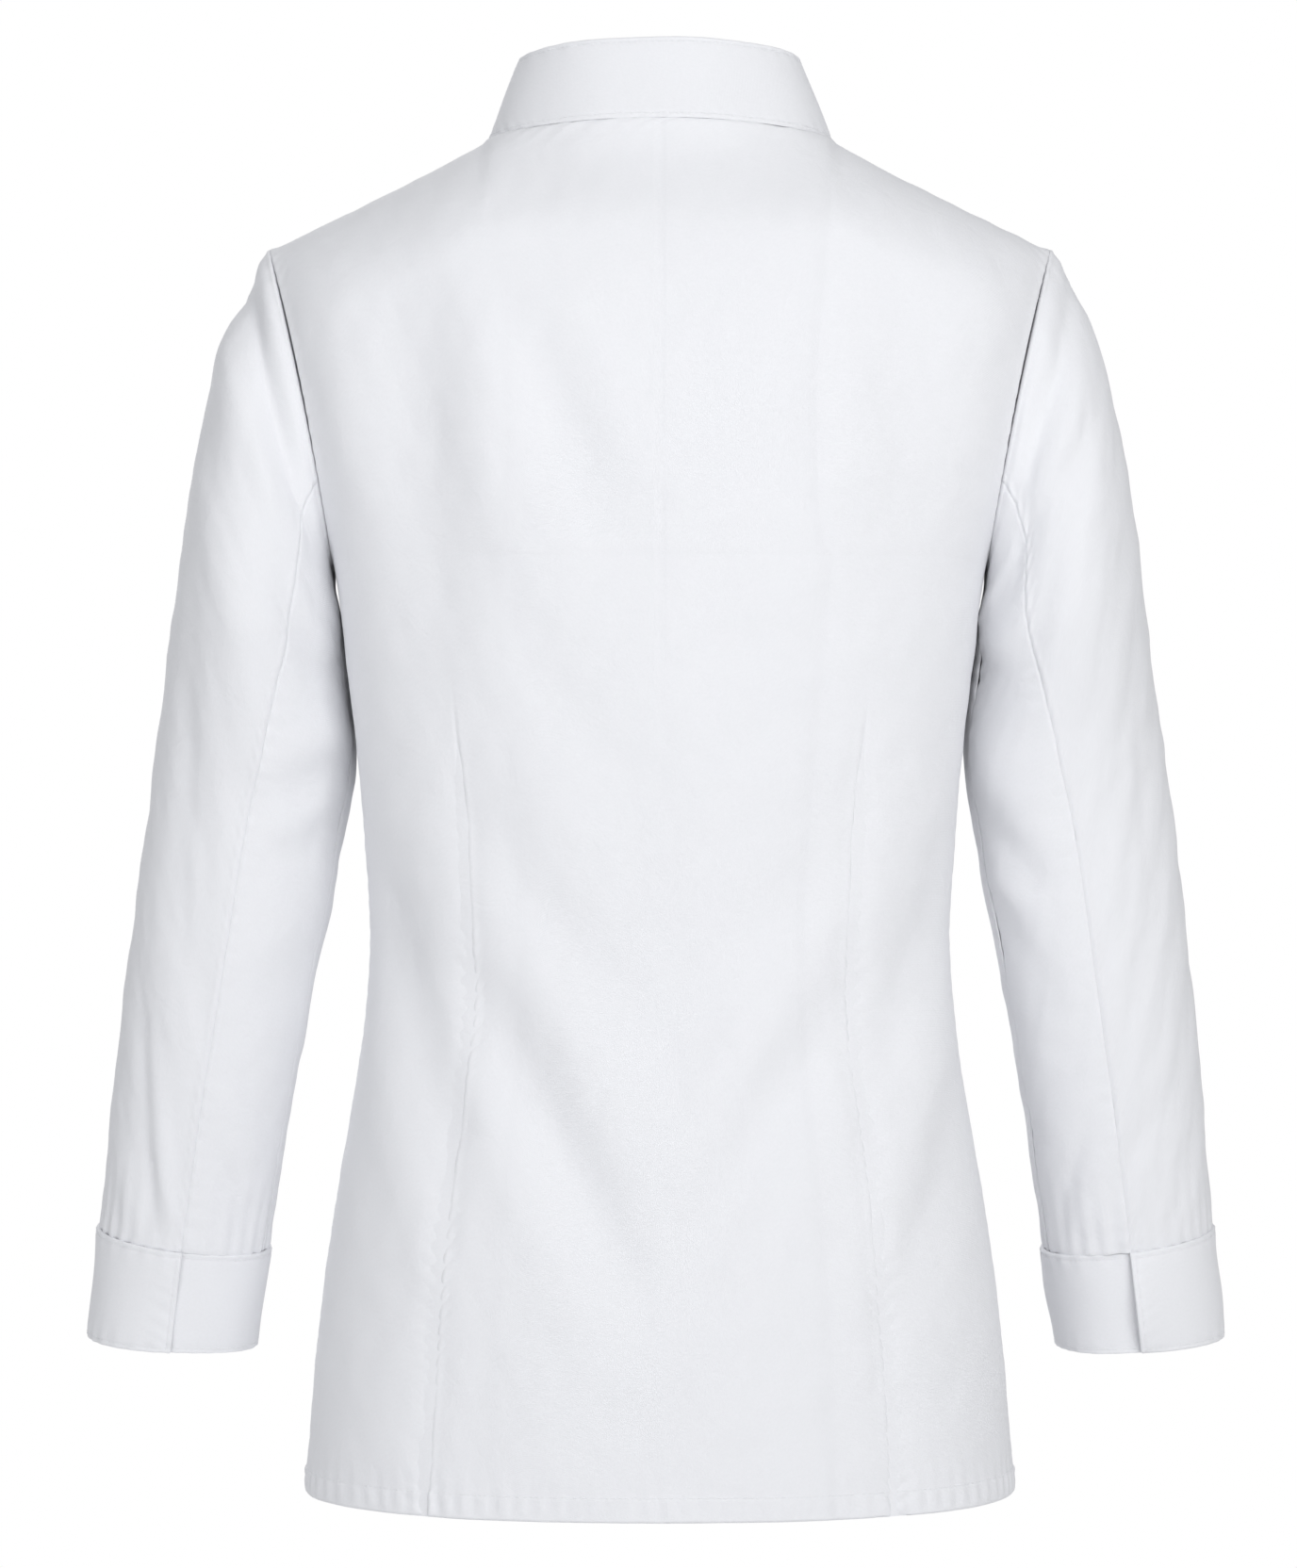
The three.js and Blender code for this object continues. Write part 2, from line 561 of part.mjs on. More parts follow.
function addCollar() {
  const front = FRONT_NECK_TURNS.filter((turn) => turn <= COLLAR_END_TURN).reverse();
  const half = [...BACK_NECK_TURNS, ...front.slice(1)];
  const turns = [...half.slice(1).reverse().map((turn) => -turn), ...half];
  const surface = (u, v) => collarPoint(rad(lerp(-COLLAR_END_TURN, COLLAR_END_TURN, u)), 1 - v);
  const levelFoot = (u, v) => {
    if (v < 1) return null;
    const turn = rad(lerp(-COLLAR_END_TURN, COLLAR_END_TURN, u));
    return vec(sin(turn) / NECK_HALF_WIDTH, cos(turn) / NECK_BACK_DEPTH, 0).normalize();
  };
  const columns = turns.map((turn) => (turn / COLLAR_END_TURN + 1) / 2);
  add("collar", wall(surface, columns, evenly(3), COLLAR_CLOTH, levelFoot), WHITE_CLOTH);
}

// Buttons are round with a raised rim, and lie just off the right front.
function addButtons() {
  const profile = [
    [0, 0],
    [BUTTON_RADIUS - 1.2, 0],
    [BUTTON_RADIUS, 1.4],
    [BUTTON_RADIUS - 0.5, BUTTON_HEIGHT - 0.4],
    [BUTTON_RADIUS - 1.6, BUTTON_HEIGHT],
    [BUTTON_RADIUS - 3, BUTTON_HEIGHT - 1],
    [0, BUTTON_HEIGHT - 1.2],
  ].map(([r, h]) => new THREE.Vector2(r, h));
  for (const [column, way] of [["right", -1], ["left", 1]])
    for (let row = 0; row < BUTTON_ROWS; row++) {
      const z = BUTTON_TOP_Z - row * BUTTON_PITCH;
      const x = way * lerp(BUTTON_TOP_X, BUTTON_BOTTOM_X, row / (BUTTON_ROWS - 1));
      const at = (px, pz) => vec(px, -bodyDepth(-1, px, pz) - LAP_LIFT, pz);
      const out = at(x + 1, z).sub(at(x - 1, z)).cross(at(x, z + 1).sub(at(x, z - 1))).normalize();
      const button = add(`button_${column}_${row + 1}`, new THREE.LatheGeometry(profile, 14), WHITE_BUTTON);
      button.quaternion.setFromUnitVectors(vec(0, 1, 0), out);
      const gap = way < 0 && row === 0 ? TOP_RIGHT_BUTTON_GAP : BUTTON_GAP;
      button.position.copy(at(x, z).addScaledVector(out, gap));
    }
}

addBack();
addFront("front_right", true);
addFront("front_left", false);
addCollar();
for (const [side, left] of [["left", true], ["right", false]]) {
  addSleeve(side, left);
  addCuff(side, left);
}
addButtons();

export default jacket;
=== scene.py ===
"""A woman's white chef jacket, hollow and filled out as if worn, laid out as a Blender add-on.

The tables and the functions of the shapes are in millimetres, and meshes are made in metres.
+Z is up, the front faces -Y and the wearer's left is +X.
"""

import math
from functools import lru_cache

import bmesh
import bpy
import numpy as np
from mathutils import Matrix, Vector


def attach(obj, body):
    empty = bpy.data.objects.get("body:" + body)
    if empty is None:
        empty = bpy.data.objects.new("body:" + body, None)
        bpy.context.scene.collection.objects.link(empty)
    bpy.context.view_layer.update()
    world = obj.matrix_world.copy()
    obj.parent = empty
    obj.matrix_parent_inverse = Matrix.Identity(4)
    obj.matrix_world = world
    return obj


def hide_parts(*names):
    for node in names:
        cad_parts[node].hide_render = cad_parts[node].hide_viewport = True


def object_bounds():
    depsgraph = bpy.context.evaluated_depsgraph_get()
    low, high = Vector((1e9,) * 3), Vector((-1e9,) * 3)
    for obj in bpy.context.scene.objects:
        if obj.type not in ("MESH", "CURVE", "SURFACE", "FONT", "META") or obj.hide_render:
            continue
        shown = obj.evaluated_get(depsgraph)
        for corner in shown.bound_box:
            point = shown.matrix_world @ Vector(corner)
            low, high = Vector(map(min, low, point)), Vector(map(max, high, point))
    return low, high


bl_info = {
    "name": "Chef Jacket",
    "version": (1, 0, 0),
    "blender": (4, 5, 0),
    "location": "View3D > Sidebar > Jacket",
    "description": "Makes a white double-breasted chef jacket, its stitching and a small studio",
    "category": "Add Mesh",
}

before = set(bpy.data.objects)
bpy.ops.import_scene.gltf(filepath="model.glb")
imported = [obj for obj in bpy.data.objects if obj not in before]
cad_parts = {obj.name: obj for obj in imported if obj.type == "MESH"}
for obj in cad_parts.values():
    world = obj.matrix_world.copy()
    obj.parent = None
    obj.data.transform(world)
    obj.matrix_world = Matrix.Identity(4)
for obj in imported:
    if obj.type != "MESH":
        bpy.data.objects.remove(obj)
CAD_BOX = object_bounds()

MM = 0.001
TAU = 2 * math.pi


def rows_of(columns, rows):
    """A table: each row by the names of its columns."""
    return [dict(zip(columns.split(), row)) for row in rows]


# Body sections by height. half_width is where a section would reach the side line, back and front are its
# depths at the centre lines, and square is the exponent of its curve.
BODY = rows_of("z half_width back front square", [
    (6, 211, 64, 40, 2.4),
    (-56, 205, 93, 59, 2.45),
    (-100, 197.6, 104, 83, 2.5),
    (-148, 189, 108, 106, 2.5),
    (-217, 167.5, 107.5, 128, 2.5),
    (-266, 161, 104, 133, 2.45),
    (-314, 155.3, 99, 130, 2.4),
    (-363, 151.2, 95, 123, 2.35),
    (-411, 148.8, 94, 118, 2.3),
    (-460, 152.5, 98, 119, 2.3),
    (-508, 160.2, 105, 123, 2.3),
    (-557, 168.3, 111, 126.5, 2.3),
    (-605, 174.5, 115, 129, 2.3),
    (-654, 179, 117.5, 130.5, 2.3),
    (-691, 181.7, 118.5, 131.5, 2.3),
])

# Distance of the armhole seam from the middle
ARMHOLE = rows_of("z back front", [
    (-56, 200, 200),
    (-75, 194.5, 192.5),
    (-100, 188, 184),
    (-124, 182.5, 177),
    (-148, 177.5, 172),
    (-172, 173.2, 169),
    (-195, 169.6, 167.2),
    (-210, 167.9, 167.3),
    (-217, 167.5, 167.5),
])

# Sleeve sections: place of the middle, half the width across and half the depth
SLEEVE = rows_of("z x y across deep", [
    (-240, 208.3, -9, 42.2, 66),
    (-266, 208.4, -15, 46.2, 63.5),
    (-290, 208.6, -20, 49.4, 61),
    (-312, 209.3, -23, 51.7, 59),
    (-338, 213, -25, 51.5, 56),
    (-387, 221, -27, 50.5, 52.5),
    (-436, 229.5, -30, 48.5, 49),
    (-485, 237.5, -35, 47, 46),
    (-535, 244.5, -40, 45.5, 43),
    (-567, 249, -43.5, 44.5, 41),
    (-622, 256, -49, 43.5, 40),
])

# Turn of the sleeve's back seam round the arm, 0 degrees being outermost and 90 the back
BACK_SEAM = rows_of("z turn", [
    (-172, 120),
    (-217, 125),
    (-241, 121),
    (-266, 109),
    (-300, 99.5),
    (-340, 95.5),
    (-435, 95),
    (-567, 93),
])

# Neck, shoulders, armholes and hem
SEAM_GAP = 0.06
NECK_HALF_WIDTH = 89
NECK_BACK_DEPTH = 64
NECK_BACK_RISE = 3.8
NECK_FRONT_DEPTH = 62
NECK_FRONT_DROP = 65
NECK_FRONT_CURVE = 0.75
NECK_SIDE_X = 50
SHOULDER_SIDE_X = 100
SHOULDER_HALF_WIDTH = 200
SHOULDER_DROP = 56
SHOULDER_CURVE = 0.92
SHOULDER_ROUND = 58
UNDERARM_DROP = 217
HEM_DROP = 691
ARMHOLE_SHARE = 0.42

# Sleeves and cuffs
CAP_END_Z = -240
CAP_SHARE = 0.42
CAP_PULL = 0.72
CUFF_SEAM_Z = -567
CUFF_END_Z = -622
INNER_SEAM_TURN = 165
RIGHT_WRIST_INWARD = 4
SLEEVE_SWING_START_Z = -330
ARM_RADIUS = 52
CUFF_EASE = 1.4
CUFF_LAP_TURN = 12
CUFF_EDGE_TURN = 94
CUFF_LAP_DROP = 2.6
CUFF_OPENING = 5.5

# Collar and the front closing
COLLAR_TOP_HALF_WIDTH = 73
COLLAR_TOP_BACK = 52
COLLAR_TOP_FRONT = 61
COLLAR_SIDE_HEIGHT = 41.5
COLLAR_BACK_RISE = 4.8
COLLAR_FRONT_DROP = 64.5
COLLAR_END_TURN = 175
COLLAR_CORNER_TURN = 10
COLLAR_CORNER_DROP = 0.16
LAP_TOP = 80
LAP_HEM = 72
LAP_TOP_FALL = 7
LAP_LIFT = 3.1
LAP_LIFT_START_Z = -12
LAP_LIFT_FULL_Z = -52

# Darts, seams and topstitching
DART_SHARE = 0.407
DART_TOP_Z = -275
BACK_DART_END_Z = -336
HEM_DEPTH = 12
EDGE_STITCH = 2.6
FRONT_STITCH = 6
GROOVE_DEPTH = 0.3
GROOVE_WIDTH = 0.75

# Lengths that the grids of the pieces are laid out by, and their coarse and fine pitches
BACK_SPAN = 480
FRONT_SPAN = 320
ARMHOLE_SPAN = 210
SIDE_SPAN = 474
CAP_SPAN = 200
ARM_SPAN = 330
UPPER_SLEEVE_SPAN = 265
UNDER_SLEEVE_SPAN = 72
CUFF_SPAN = 338
CUFF_HEIGHT = 56
COLLAR_SPAN = 500
COLLAR_HEIGHT = 44
FINE_PITCH = 0.6

# Buttons
BUTTON_ROWS = 5
BUTTON_TOP_Z = -92
BUTTON_PITCH = 92
BUTTON_TOP_X = 62
BUTTON_BOTTOM_X = 54

# Soft folds: a ridge of that height, or a trough where it is negative, along a curve through three points.
# lean makes one side of it steeper than the other.
BACK_FOLDS = rows_of("x0 z0 x1 z1 x2 z2 height width lean", [
    (138, -62, 121, -150, 111, -272, -7.0, 26, 0),
    (178, -84, 164, -150, 148, -240, 2.4, 20, 0),
    (86, -72, 88, -160, 90, -270, 1.8, 18, 0),
    (-128, -86, -122, -170, -112, -245, -3.6, 26, 0),
    (-86, -84, -90, -160, -94, -240, 1.4, 20, 0),
    (74, -96, 52, -140, 24, -205, -3.0, 15, 0.1),
    (58, -84, 34, -118, 12, -180, 1.4, 14, 0),
    (-66, -105, -48, -190, -22, -282, -2.6, 18, 0),
    (84, -212, 62, -268, 20, -330, -2.4, 17, 0.1),
    (-88, -222, -64, -280, -20, -336, -1.6, 18, -0.1),
    (90, -346, 50, -404, 4, -462, -3.4, 19, 0.1),
    (-92, -352, -52, -406, -6, -458, -2.6, 19, -0.1),
    (90, -384, 48, -442, 8, -510, 2.8, 17, 0),
    (-90, -388, -48, -446, -8, -512, 2.8, 17, 0),
    (92, -433, 56, -500, 12, -580, -7.6, 17, 0.1),
    (-93, -438, -56, -496, -14, -572, -6.2, 18, -0.1),
    (84, -478, 52, -560, 22, -620, 2.2, 20, 0),
    (-82, -482, -52, -556, -24, -620, 2.0, 20, 0),
    (146, -372, 128, -430, 108, -500, -6.4, 17, 0.1),
    (150, -432, 132, -500, 112, -572, 3.0, 15, 0),
    (-146, -372, -126, -430, -106, -480, -5.0, 17, -0.1),
    (-150, -430, -132, -490, -112, -540, 2.4, 15, 0),
    (-158, -470, -140, -536, -114, -598, -3.4, 15, -0.1),
])

# Folds of the fronts, by distance from the middle, so that both lie alike where they lap
FRONT_FOLDS = rows_of("x0 z0 x1 z1 x2 z2 height width lean", [
    (140, -110, 130, -165, 112, -215, -4, 22, 0),
    (118, -300, 112, -370, 96, -440, -3.5, 22, 0.2),
    (128, -470, 127, -560, 118, -640, 3, 24, 0),
    (150, -330, 118, -352, 84, -392, 1.8, 11, 0.3),
    (150, -395, 120, -412, 88, -424, -1.8, 12, -0.3),
    (22, -185, 62, -175, 118, -190, 1.1, 16, 0),
])

# Folds of the sleeves, from the turn round the arm and the distance down from the armhole
LEFT_SLEEVE_FOLDS = rows_of("turn0 down0 turn1 down1 turn2 down2 height width lean", [
    (2, 26, 62, 22, 108, 20, -6, 12, 0.3),
    (22, 52, 64, 52, 112, 42, 2.6, 16, 0),
    (118, 20, 122, 30, 128, 44, 2.2, 13, 0),
    (40, 110, 84, 126, 112, 155, 1.8, 20, 0),
    (48, 180, 54, 230, 66, 288, -2.2, 11, 0.2),
    (64, 190, 74, 240, 84, 300, -1.2, 9, 0),
    (152, 62, 138, 68, 122, 76, -2.4, 10, 0.3),
    (156, 46, 148, 50, 132, 58, 2.2, 10, 0),
    (156, 92, 140, 100, 120, 116, 2.2, 12, 0),
    (154, 112, 128, 132, 100, 166, -2.6, 11, -0.3),
    (158, 138, 136, 158, 112, 190, -2.4, 11, -0.3),
    (158, 125, 140, 142, 124, 160, 1.7, 9, 0),
    (160, 212, 138, 232, 112, 262, -1.5, 14, -0.2),
    (46, 372, 60, 404, 78, 432, -2.6, 10, 0.3),
    (62, 366, 76, 392, 86, 414, 1.8, 9, 0),
    (110, 336, 124, 350, 150, 362, -1.3, 8, 0),
    (-60, 260, -95, 284, -130, 300, -3, 17, 0.3),
    (-70, 340, -105, 318, -140, 310, -2.4, 17, 0),
])
RIGHT_SLEEVE_FOLDS = rows_of("turn0 down0 turn1 down1 turn2 down2 height width lean", [
    (20, 22, 60, 24, 96, 20, -3.8, 13, 0.2),
    (60, 52, 84, 44, 108, 22, 2.2, 13, 0),
    (66, 64, 92, 52, 116, 34, -2.2, 10, 0.3),
    (52, 96, 90, 112, 112, 128, 1.6, 20, 0),
    (122, 34, 136, 32, 154, 34, -2.6, 10, 0.3),
    (160, 38, 142, 56, 124, 76, 2.8, 11, 0),
    (162, 56, 146, 70, 132, 84, -3.4, 10, -0.3),
    (160, 100, 138, 128, 112, 168, 2.2, 12, 0),
    (158, 134, 138, 162, 116, 200, -2.2, 12, -0.3),
    (156, 160, 142, 182, 124, 204, 2.0, 10, 0),
    (160, 182, 144, 208, 122, 246, -2.0, 12, -0.3),
    (44, 196, 48, 250, 54, 312, -1.5, 10, 0.2),
    (60, 208, 64, 262, 72, 318, -1.0, 9, 0),
    (120, 330, 134, 346, 146, 362, -1.5, 9, 0.2),
    (62, 392, 76, 376, 92, 366, -1.3, 9, 0),
    (-55, 250, -95, 275, -135, 292, -3, 18, 0.3),
    (-75, 352, -105, 330, -140, 322, -2.2, 16, 0),
])
# The sleeves fill out towards the body below the underarm, alike on both sides of the inner seam.
UNDERARM_FULLNESS = dict(turn=160, turns=20, down=26, length=20, height=3.6)


def smooth(low, high, value):
    share = np.clip((value - low) / (high - low), 0, 1)
    return share * share * (3 - 2 * share)


def lerp(low, high, share):
    return low + (high - low) * share


def near(distance, width):
    """A soft bump of height 1 at no distance."""
    return np.exp(-((distance / width) ** 2))


def point(x, y, z):
    return np.stack(np.broadcast_arrays(x, y, z), axis=-1).astype(float)


def unit(vectors):
    return vectors / np.maximum(np.linalg.norm(vectors, axis=-1, keepdims=True), 1e-12)


def column_at(table, name, z):
    """Reads a column of a table at some heights, with a smooth curve through its rows."""
    heights = np.array([row["z"] for row in table], float)
    values = np.array([row[name] for row in table], float)
    slopes = np.diff(values) / np.diff(heights)
    tangents = np.concatenate([slopes[:1], (slopes[:-1] + slopes[1:]) / 2, slopes[-1:]])
    k = np.clip(np.searchsorted(-heights, -np.asarray(z, float)) - 1, 0, len(slopes) - 1)
    span = heights[k + 1] - heights[k]
    q = np.clip((z - heights[k]) / span, 0, 1)
    return (
        values[k] * (1 + 2 * q) * (1 - q) ** 2
        + tangents[k] * span * q * (1 - q) ** 2
        + values[k + 1] * q * q * (3 - 2 * q)
        + tangents[k + 1] * span * q * q * (q - 1)
    )


def top_line(side, x):
    """Height of the neckline and shoulder seam at a distance from the middle."""
    out = np.abs(x)
    along = np.clip((out - NECK_HALF_WIDTH) / (SHOULDER_HALF_WIDTH - NECK_HALF_WIDTH), 0, None)
    inward = np.clip(1 - (out / NECK_HALF_WIDTH) ** 2, 0, 1)
    neckline = NECK_BACK_RISE * inward if side > 0 else -NECK_FRONT_DROP * inward**NECK_FRONT_CURVE
    return np.where(out >= NECK_HALF_WIDTH, -SHOULDER_DROP * along**SHOULDER_CURVE, neckline)


def body_depth(side, x, z):
    """Depth of the body's surface, rounded over the shoulder: side is +1 on the back and -1 on the front."""
    square = column_at(BODY, "square", z)
    half_width = column_at(BODY, "half_width", z)
    depth = column_at(BODY, "back" if side > 0 else "front", z)
    full = depth * np.clip(1 - (np.abs(x) / half_width) ** square, 0, 1) ** (1 / square)
    at_neck = np.sqrt(np.clip(1 - (x / NECK_HALF_WIDTH) ** 2, 0, 1))
    top = at_neck * (NECK_BACK_DEPTH if side > 0 else NECK_FRONT_DEPTH)
    below = np.clip((top_line(side, x) - z) / SHOULDER_ROUND, 0, 1)
    at_shoulder = smooth(NECK_SIDE_X, SHOULDER_SIDE_X, np.abs(x))
    rounding = lerp(np.sin(below * math.pi / 2), np.sqrt(1 - (1 - below) ** 2), at_shoulder)
    return SEAM_GAP / 2 + lerp(top, full, rounding)


def body_place(side, share, edge_z):
    """Distance from the middle for a share of the half width, which ends at the armhole or side seam."""
    square = column_at(BODY, "square", edge_z)
    half_width = column_at(BODY, "half_width", edge_z)
    armhole = column_at(ARMHOLE, "back" if side > 0 else "front", edge_z)
    edge = np.where(edge_z > -UNDERARM_DROP, armhole, half_width)
    widest = np.arcsin(np.minimum(1, edge / half_width) ** (square / 2))
    return np.sign(share) * half_width * np.sin(np.abs(share) * widest) ** (2 / square)


def armhole_height(turn):
    """Height of the armhole at a turn round it: 0 is the shoulder tip, 90 the back and 180 the underarm."""
    return -(SHOULDER_DROP + UNDERARM_DROP) / 2 + (UNDERARM_DROP - SHOULDER_DROP) / 2 * np.cos(turn)


def edge_height(t):
    """Height of a body panel's row at its edge: down the armhole by equal turns, then down the side seam."""
    beside = armhole_height(math.pi * t / ARMHOLE_SHARE)
    below = lerp(-UNDERARM_DROP, -HEM_DROP, (t - ARMHOLE_SHARE) / (1 - ARMHOLE_SHARE))
    return np.where(t < ARMHOLE_SHARE, beside, below)


def back_surface(share, t):
    edge_z = edge_height(t)
    x = body_place(1, share, edge_z)
    rise = 1 - smooth(SHOULDER_DROP, UNDERARM_DROP, -edge_z)
    z = edge_z + (top_line(1, x) + SHOULDER_DROP) * rise
    return point(x, body_depth(1, x, z), z)


def lap_lift(x, z):
    """How far the upper front stands off to lie over the lower one."""
    return LAP_LIFT * smooth(-LAP_TOP - 45, -LAP_TOP - 6, x) * smooth(-LAP_LIFT_START_Z, -LAP_LIFT_FULL_Z, -z)


def front_surface(share, t, over):
    """A front from its side seam, share -1, over the middle, share 0, to its free edge, share 1."""
    edge_z = edge_height(t)
    x = np.where(share < 0, body_place(-1, share, edge_z), share * lerp(LAP_TOP, LAP_HEM, t))
    top = np.where(share < 0, top_line(-1, x), -NECK_FRONT_DROP - LAP_TOP_FALL * share)
    rise = 1 - smooth(SHOULDER_DROP, UNDERARM_DROP, -edge_z)
    z = edge_z + (top + SHOULDER_DROP) * rise
    lift = lap_lift(x, z) if over else 0
    return point(x if over else -x, -body_depth(-1, x, z) - lift, z)


def armhole_point(turn):
    z = armhole_height(turn)
    behind = np.sin(turn) >= 0
    x = np.where(behind, column_at(ARMHOLE, "back", z), column_at(ARMHOLE, "front", z))
    return point(x, np.where(behind, body_depth(1, x, z), -body_depth(-1, x, z)), z)


def armhole_body_normal(turn):
    step = 0.05
    behind = np.sin(turn) >= 0
    edge = armhole_point(turn)
    x, z = edge[..., 0], edge[..., 2]

    def at(px, pz):
        return point(px, np.where(behind, body_depth(1, px, pz), -body_depth(-1, px, pz)), pz)

    across = at(x, z) - at(x - step, z)
    down = at(x - step, z - step) - at(x - step, z)
    return unit(np.cross(across, down) * np.where(behind, 1, -1)[..., None])


def armhole_seam(turn):
    """The way the sleeve leaves the armhole, the mitre between both walls and the way across the seam."""
    top = 0.5 + 0.5 * np.cos(turn)
    aside = np.abs(np.sin(turn))
    out = 0.2 + 0.52 * np.sqrt(top) + 0.16 * aside
    leaving = unit(point(out, 0.32 * np.sin(turn), 0.36 * aside - 0.8))
    tangent = unit(armhole_point(turn + 1e-3) - armhole_point(turn - 1e-3))
    sleeve_normal = unit(np.cross(leaving, tangent))
    mitre = armhole_body_normal(turn) + sleeve_normal + point(0, 0, -0.5 * (1 - top) ** 2)
    mitre[..., 1] = np.where(aside < 1e-6, 0, mitre[..., 1])
    mitre = unit(mitre)
    return leaving, mitre, unit(np.cross(tangent, mitre))


def sleeve_ring(turn, z, ease=0):
    """Point of a sleeve section at a height of its middle, square to the line of the arm."""
    middle = lambda h: point(column_at(SLEEVE, "x", h), column_at(SLEEVE, "y", h), h)
    along = unit(middle(z - 4) - middle(np.minimum(z + 4, CAP_END_Z)))
    outward = unit(point(1, 0, 0) - along * along[..., :1])
    backward = unit(np.cross(outward, along))
    across = (column_at(SLEEVE, "across", z) + ease) * np.cos(turn)
    deep = (column_at(SLEEVE, "deep", z) + ease) * np.sin(turn)
    return middle(z) + outward * across[..., None] + backward * deep[..., None]


def sleeve_surface(turn, t):
    """Left sleeve's surface for a turn round the arm and a share of its length from armhole to cuff."""
    down = np.clip((t - CAP_SHARE) / (1 - CAP_SHARE), 0, 1)
    below = sleeve_ring(turn, lerp(CAP_END_Z, CUFF_SEAM_Z, down))
    leaving, _, across = armhole_seam(turn)
    start = armhole_point(turn) + across * SEAM_GAP
    end = sleeve_ring(turn, np.full_like(turn, CAP_END_Z))
    arriving = unit(sleeve_ring(turn, np.full_like(turn, CAP_END_Z - 6)) - end)
    pull = CAP_PULL * np.linalg.norm(start - end, axis=-1, keepdims=True)
    q = np.clip(t / CAP_SHARE, 0, 1)[..., None]
    cap = (
        start * (1 + 2 * q) * (1 - q) ** 2
        + leaving * pull * q * (1 - q) ** 2
        + end * q * q * (3 - 2 * q)
        + arriving * pull * q * q * (q - 1)
    )
    return np.where(t[..., None] < CAP_SHARE, cap, below)


def back_seam_turn(t):
    cap_z = lerp(-172, CAP_END_Z, np.clip(t / CAP_SHARE, 0, 1))
    low_z = lerp(CAP_END_Z, CUFF_SEAM_Z, np.clip((t - CAP_SHARE) / (1 - CAP_SHARE), 0, 1))
    return np.radians(column_at(BACK_SEAM, "turn", np.where(t < CAP_SHARE, cap_z, low_z)))


def cuff_surface(share, v):
    """A cuff from its under edge, share 0, once round and over the lap, and from its seam to the wrist."""
    turn = CUFF_EDGE_TURN - CUFF_LAP_TURN + share * (360 + CUFF_LAP_TURN)
    under = 1 - smooth(CUFF_EDGE_TURN - 4, CUFF_EDGE_TURN + 42, turn)
    z = lerp(CUFF_SEAM_Z - SEAM_GAP, CUFF_END_Z, v)
    return sleeve_ring(np.radians(turn), z, CUFF_EASE - under * CUFF_LAP_DROP)


def neck_point(turn):
    """Edge of the neckline at a turn: 0 is the middle of the back and 180 the middle of the front."""
    x = NECK_HALF_WIDTH * np.sin(turn)
    behind = np.cos(turn) >= 0
    z = np.where(behind, top_line(1, x), top_line(-1, x))
    front = body_depth(-1, x, z) + np.where(x < 0, lap_lift(x, z), 0)
    return point(x, np.where(behind, body_depth(1, x, z), -front), z)


def collar_surface(turn, v):
    """Collar for a turn round the neck and a share of its height from the neckline."""
    back = np.clip(np.cos(turn), 0, 1)
    front = np.clip(-np.cos(turn), 0, 1)
    foot = neck_point(turn)
    fall = COLLAR_FRONT_DROP * front ** (2 * NECK_FRONT_CURVE)
    rim = point(
        COLLAR_TOP_HALF_WIDTH * np.sin(turn),
        COLLAR_TOP_BACK * back - COLLAR_TOP_FRONT * front,
        COLLAR_SIDE_HEIGHT + COLLAR_BACK_RISE * back - fall,
    )
    corner = math.radians(COLLAR_END_TURN - COLLAR_CORNER_TURN)
    to_end = smooth(corner, math.radians(COLLAR_END_TURN), np.abs(turn))
    return foot + (rim - foot) * ((1 - COLLAR_CORNER_DROP * to_end**2) * v)[..., None]


def mirrored(points):
    """The right sleeve is the left one in a mirror, a little closer in at the wrist."""
    inward = RIGHT_WRIST_INWARD * smooth(-SLEEVE_SWING_START_Z, -CUFF_END_Z, -points[..., 2])
    return point(inward - points[..., 0], points[..., 1], points[..., 2])[::-1]


def fold_lift(folds, first, second, a, b):
    """Height of soft folds at places given by two measures, which the folds' columns are named after."""
    lift = np.zeros(np.shape(a))
    for fold in folds:
        start, middle, end = (np.array([fold[f"{first}{k}"], fold[f"{second}{k}"]], float) for k in range(3))
        control = 2 * middle - (start + end) / 2
        shares = np.linspace(0, 1, 11)[:, None]
        route = start * (1 - shares) ** 2 + control * 2 * shares * (1 - shares) + end * shares**2
        closest = np.full(np.shape(a), np.inf)
        along = np.zeros(np.shape(a))
        side = np.zeros(np.shape(a))
        for k, (p, q) in enumerate(zip(route[:-1], route[1:])):
            way = q - p
            share = np.clip(((a - p[0]) * way[0] + (b - p[1]) * way[1]) / (way @ way), 0, 1)
            off_a = a - p[0] - share * way[0]
            off_b = b - p[1] - share * way[1]
            away = np.hypot(off_a, off_b)
            better = away < closest
            closest = np.where(better, away, closest)
            along = np.where(better, (k + share) / 10, along)
            side = np.where(better, np.sign(way[0] * off_b - way[1] * off_a), side)
        width = fold["width"] * (1 + fold["lean"] * side * np.tanh(closest / fold["width"]))
        strength = 0.3 + 0.7 * np.sin(math.pi * (0.08 + 0.84 * along))
        lift = lift + fold["height"] * strength * near(closest, width)
    return lift


def ripples(a, b, size, seed):
    """Low uneven waves of about that size over a plane."""
    draw = np.random.default_rng(seed)
    total = 0
    for _ in range(9):
        way, phase = draw.uniform(0, TAU, 2)
        length = size * draw.uniform(0.7, 1.7)
        total = total + np.cos((a * math.cos(way) + b * math.sin(way)) * TAU / length + phase)
    return total / 3


def puckers(along, pitch, seed):
    """Small waves along a seam, uneven in pitch and strength."""
    drift = ripples(along, 0 * along, 6 * pitch, seed)
    strength = 0.6 + 0.4 * ripples(along, 0 * along, 9 * pitch, seed + 1)
    return strength * np.cos(TAU * along / pitch + 1.5 * drift)


def seam_valley(distance, depth=0.55, width=0.9):
    return -depth * near(distance, width)


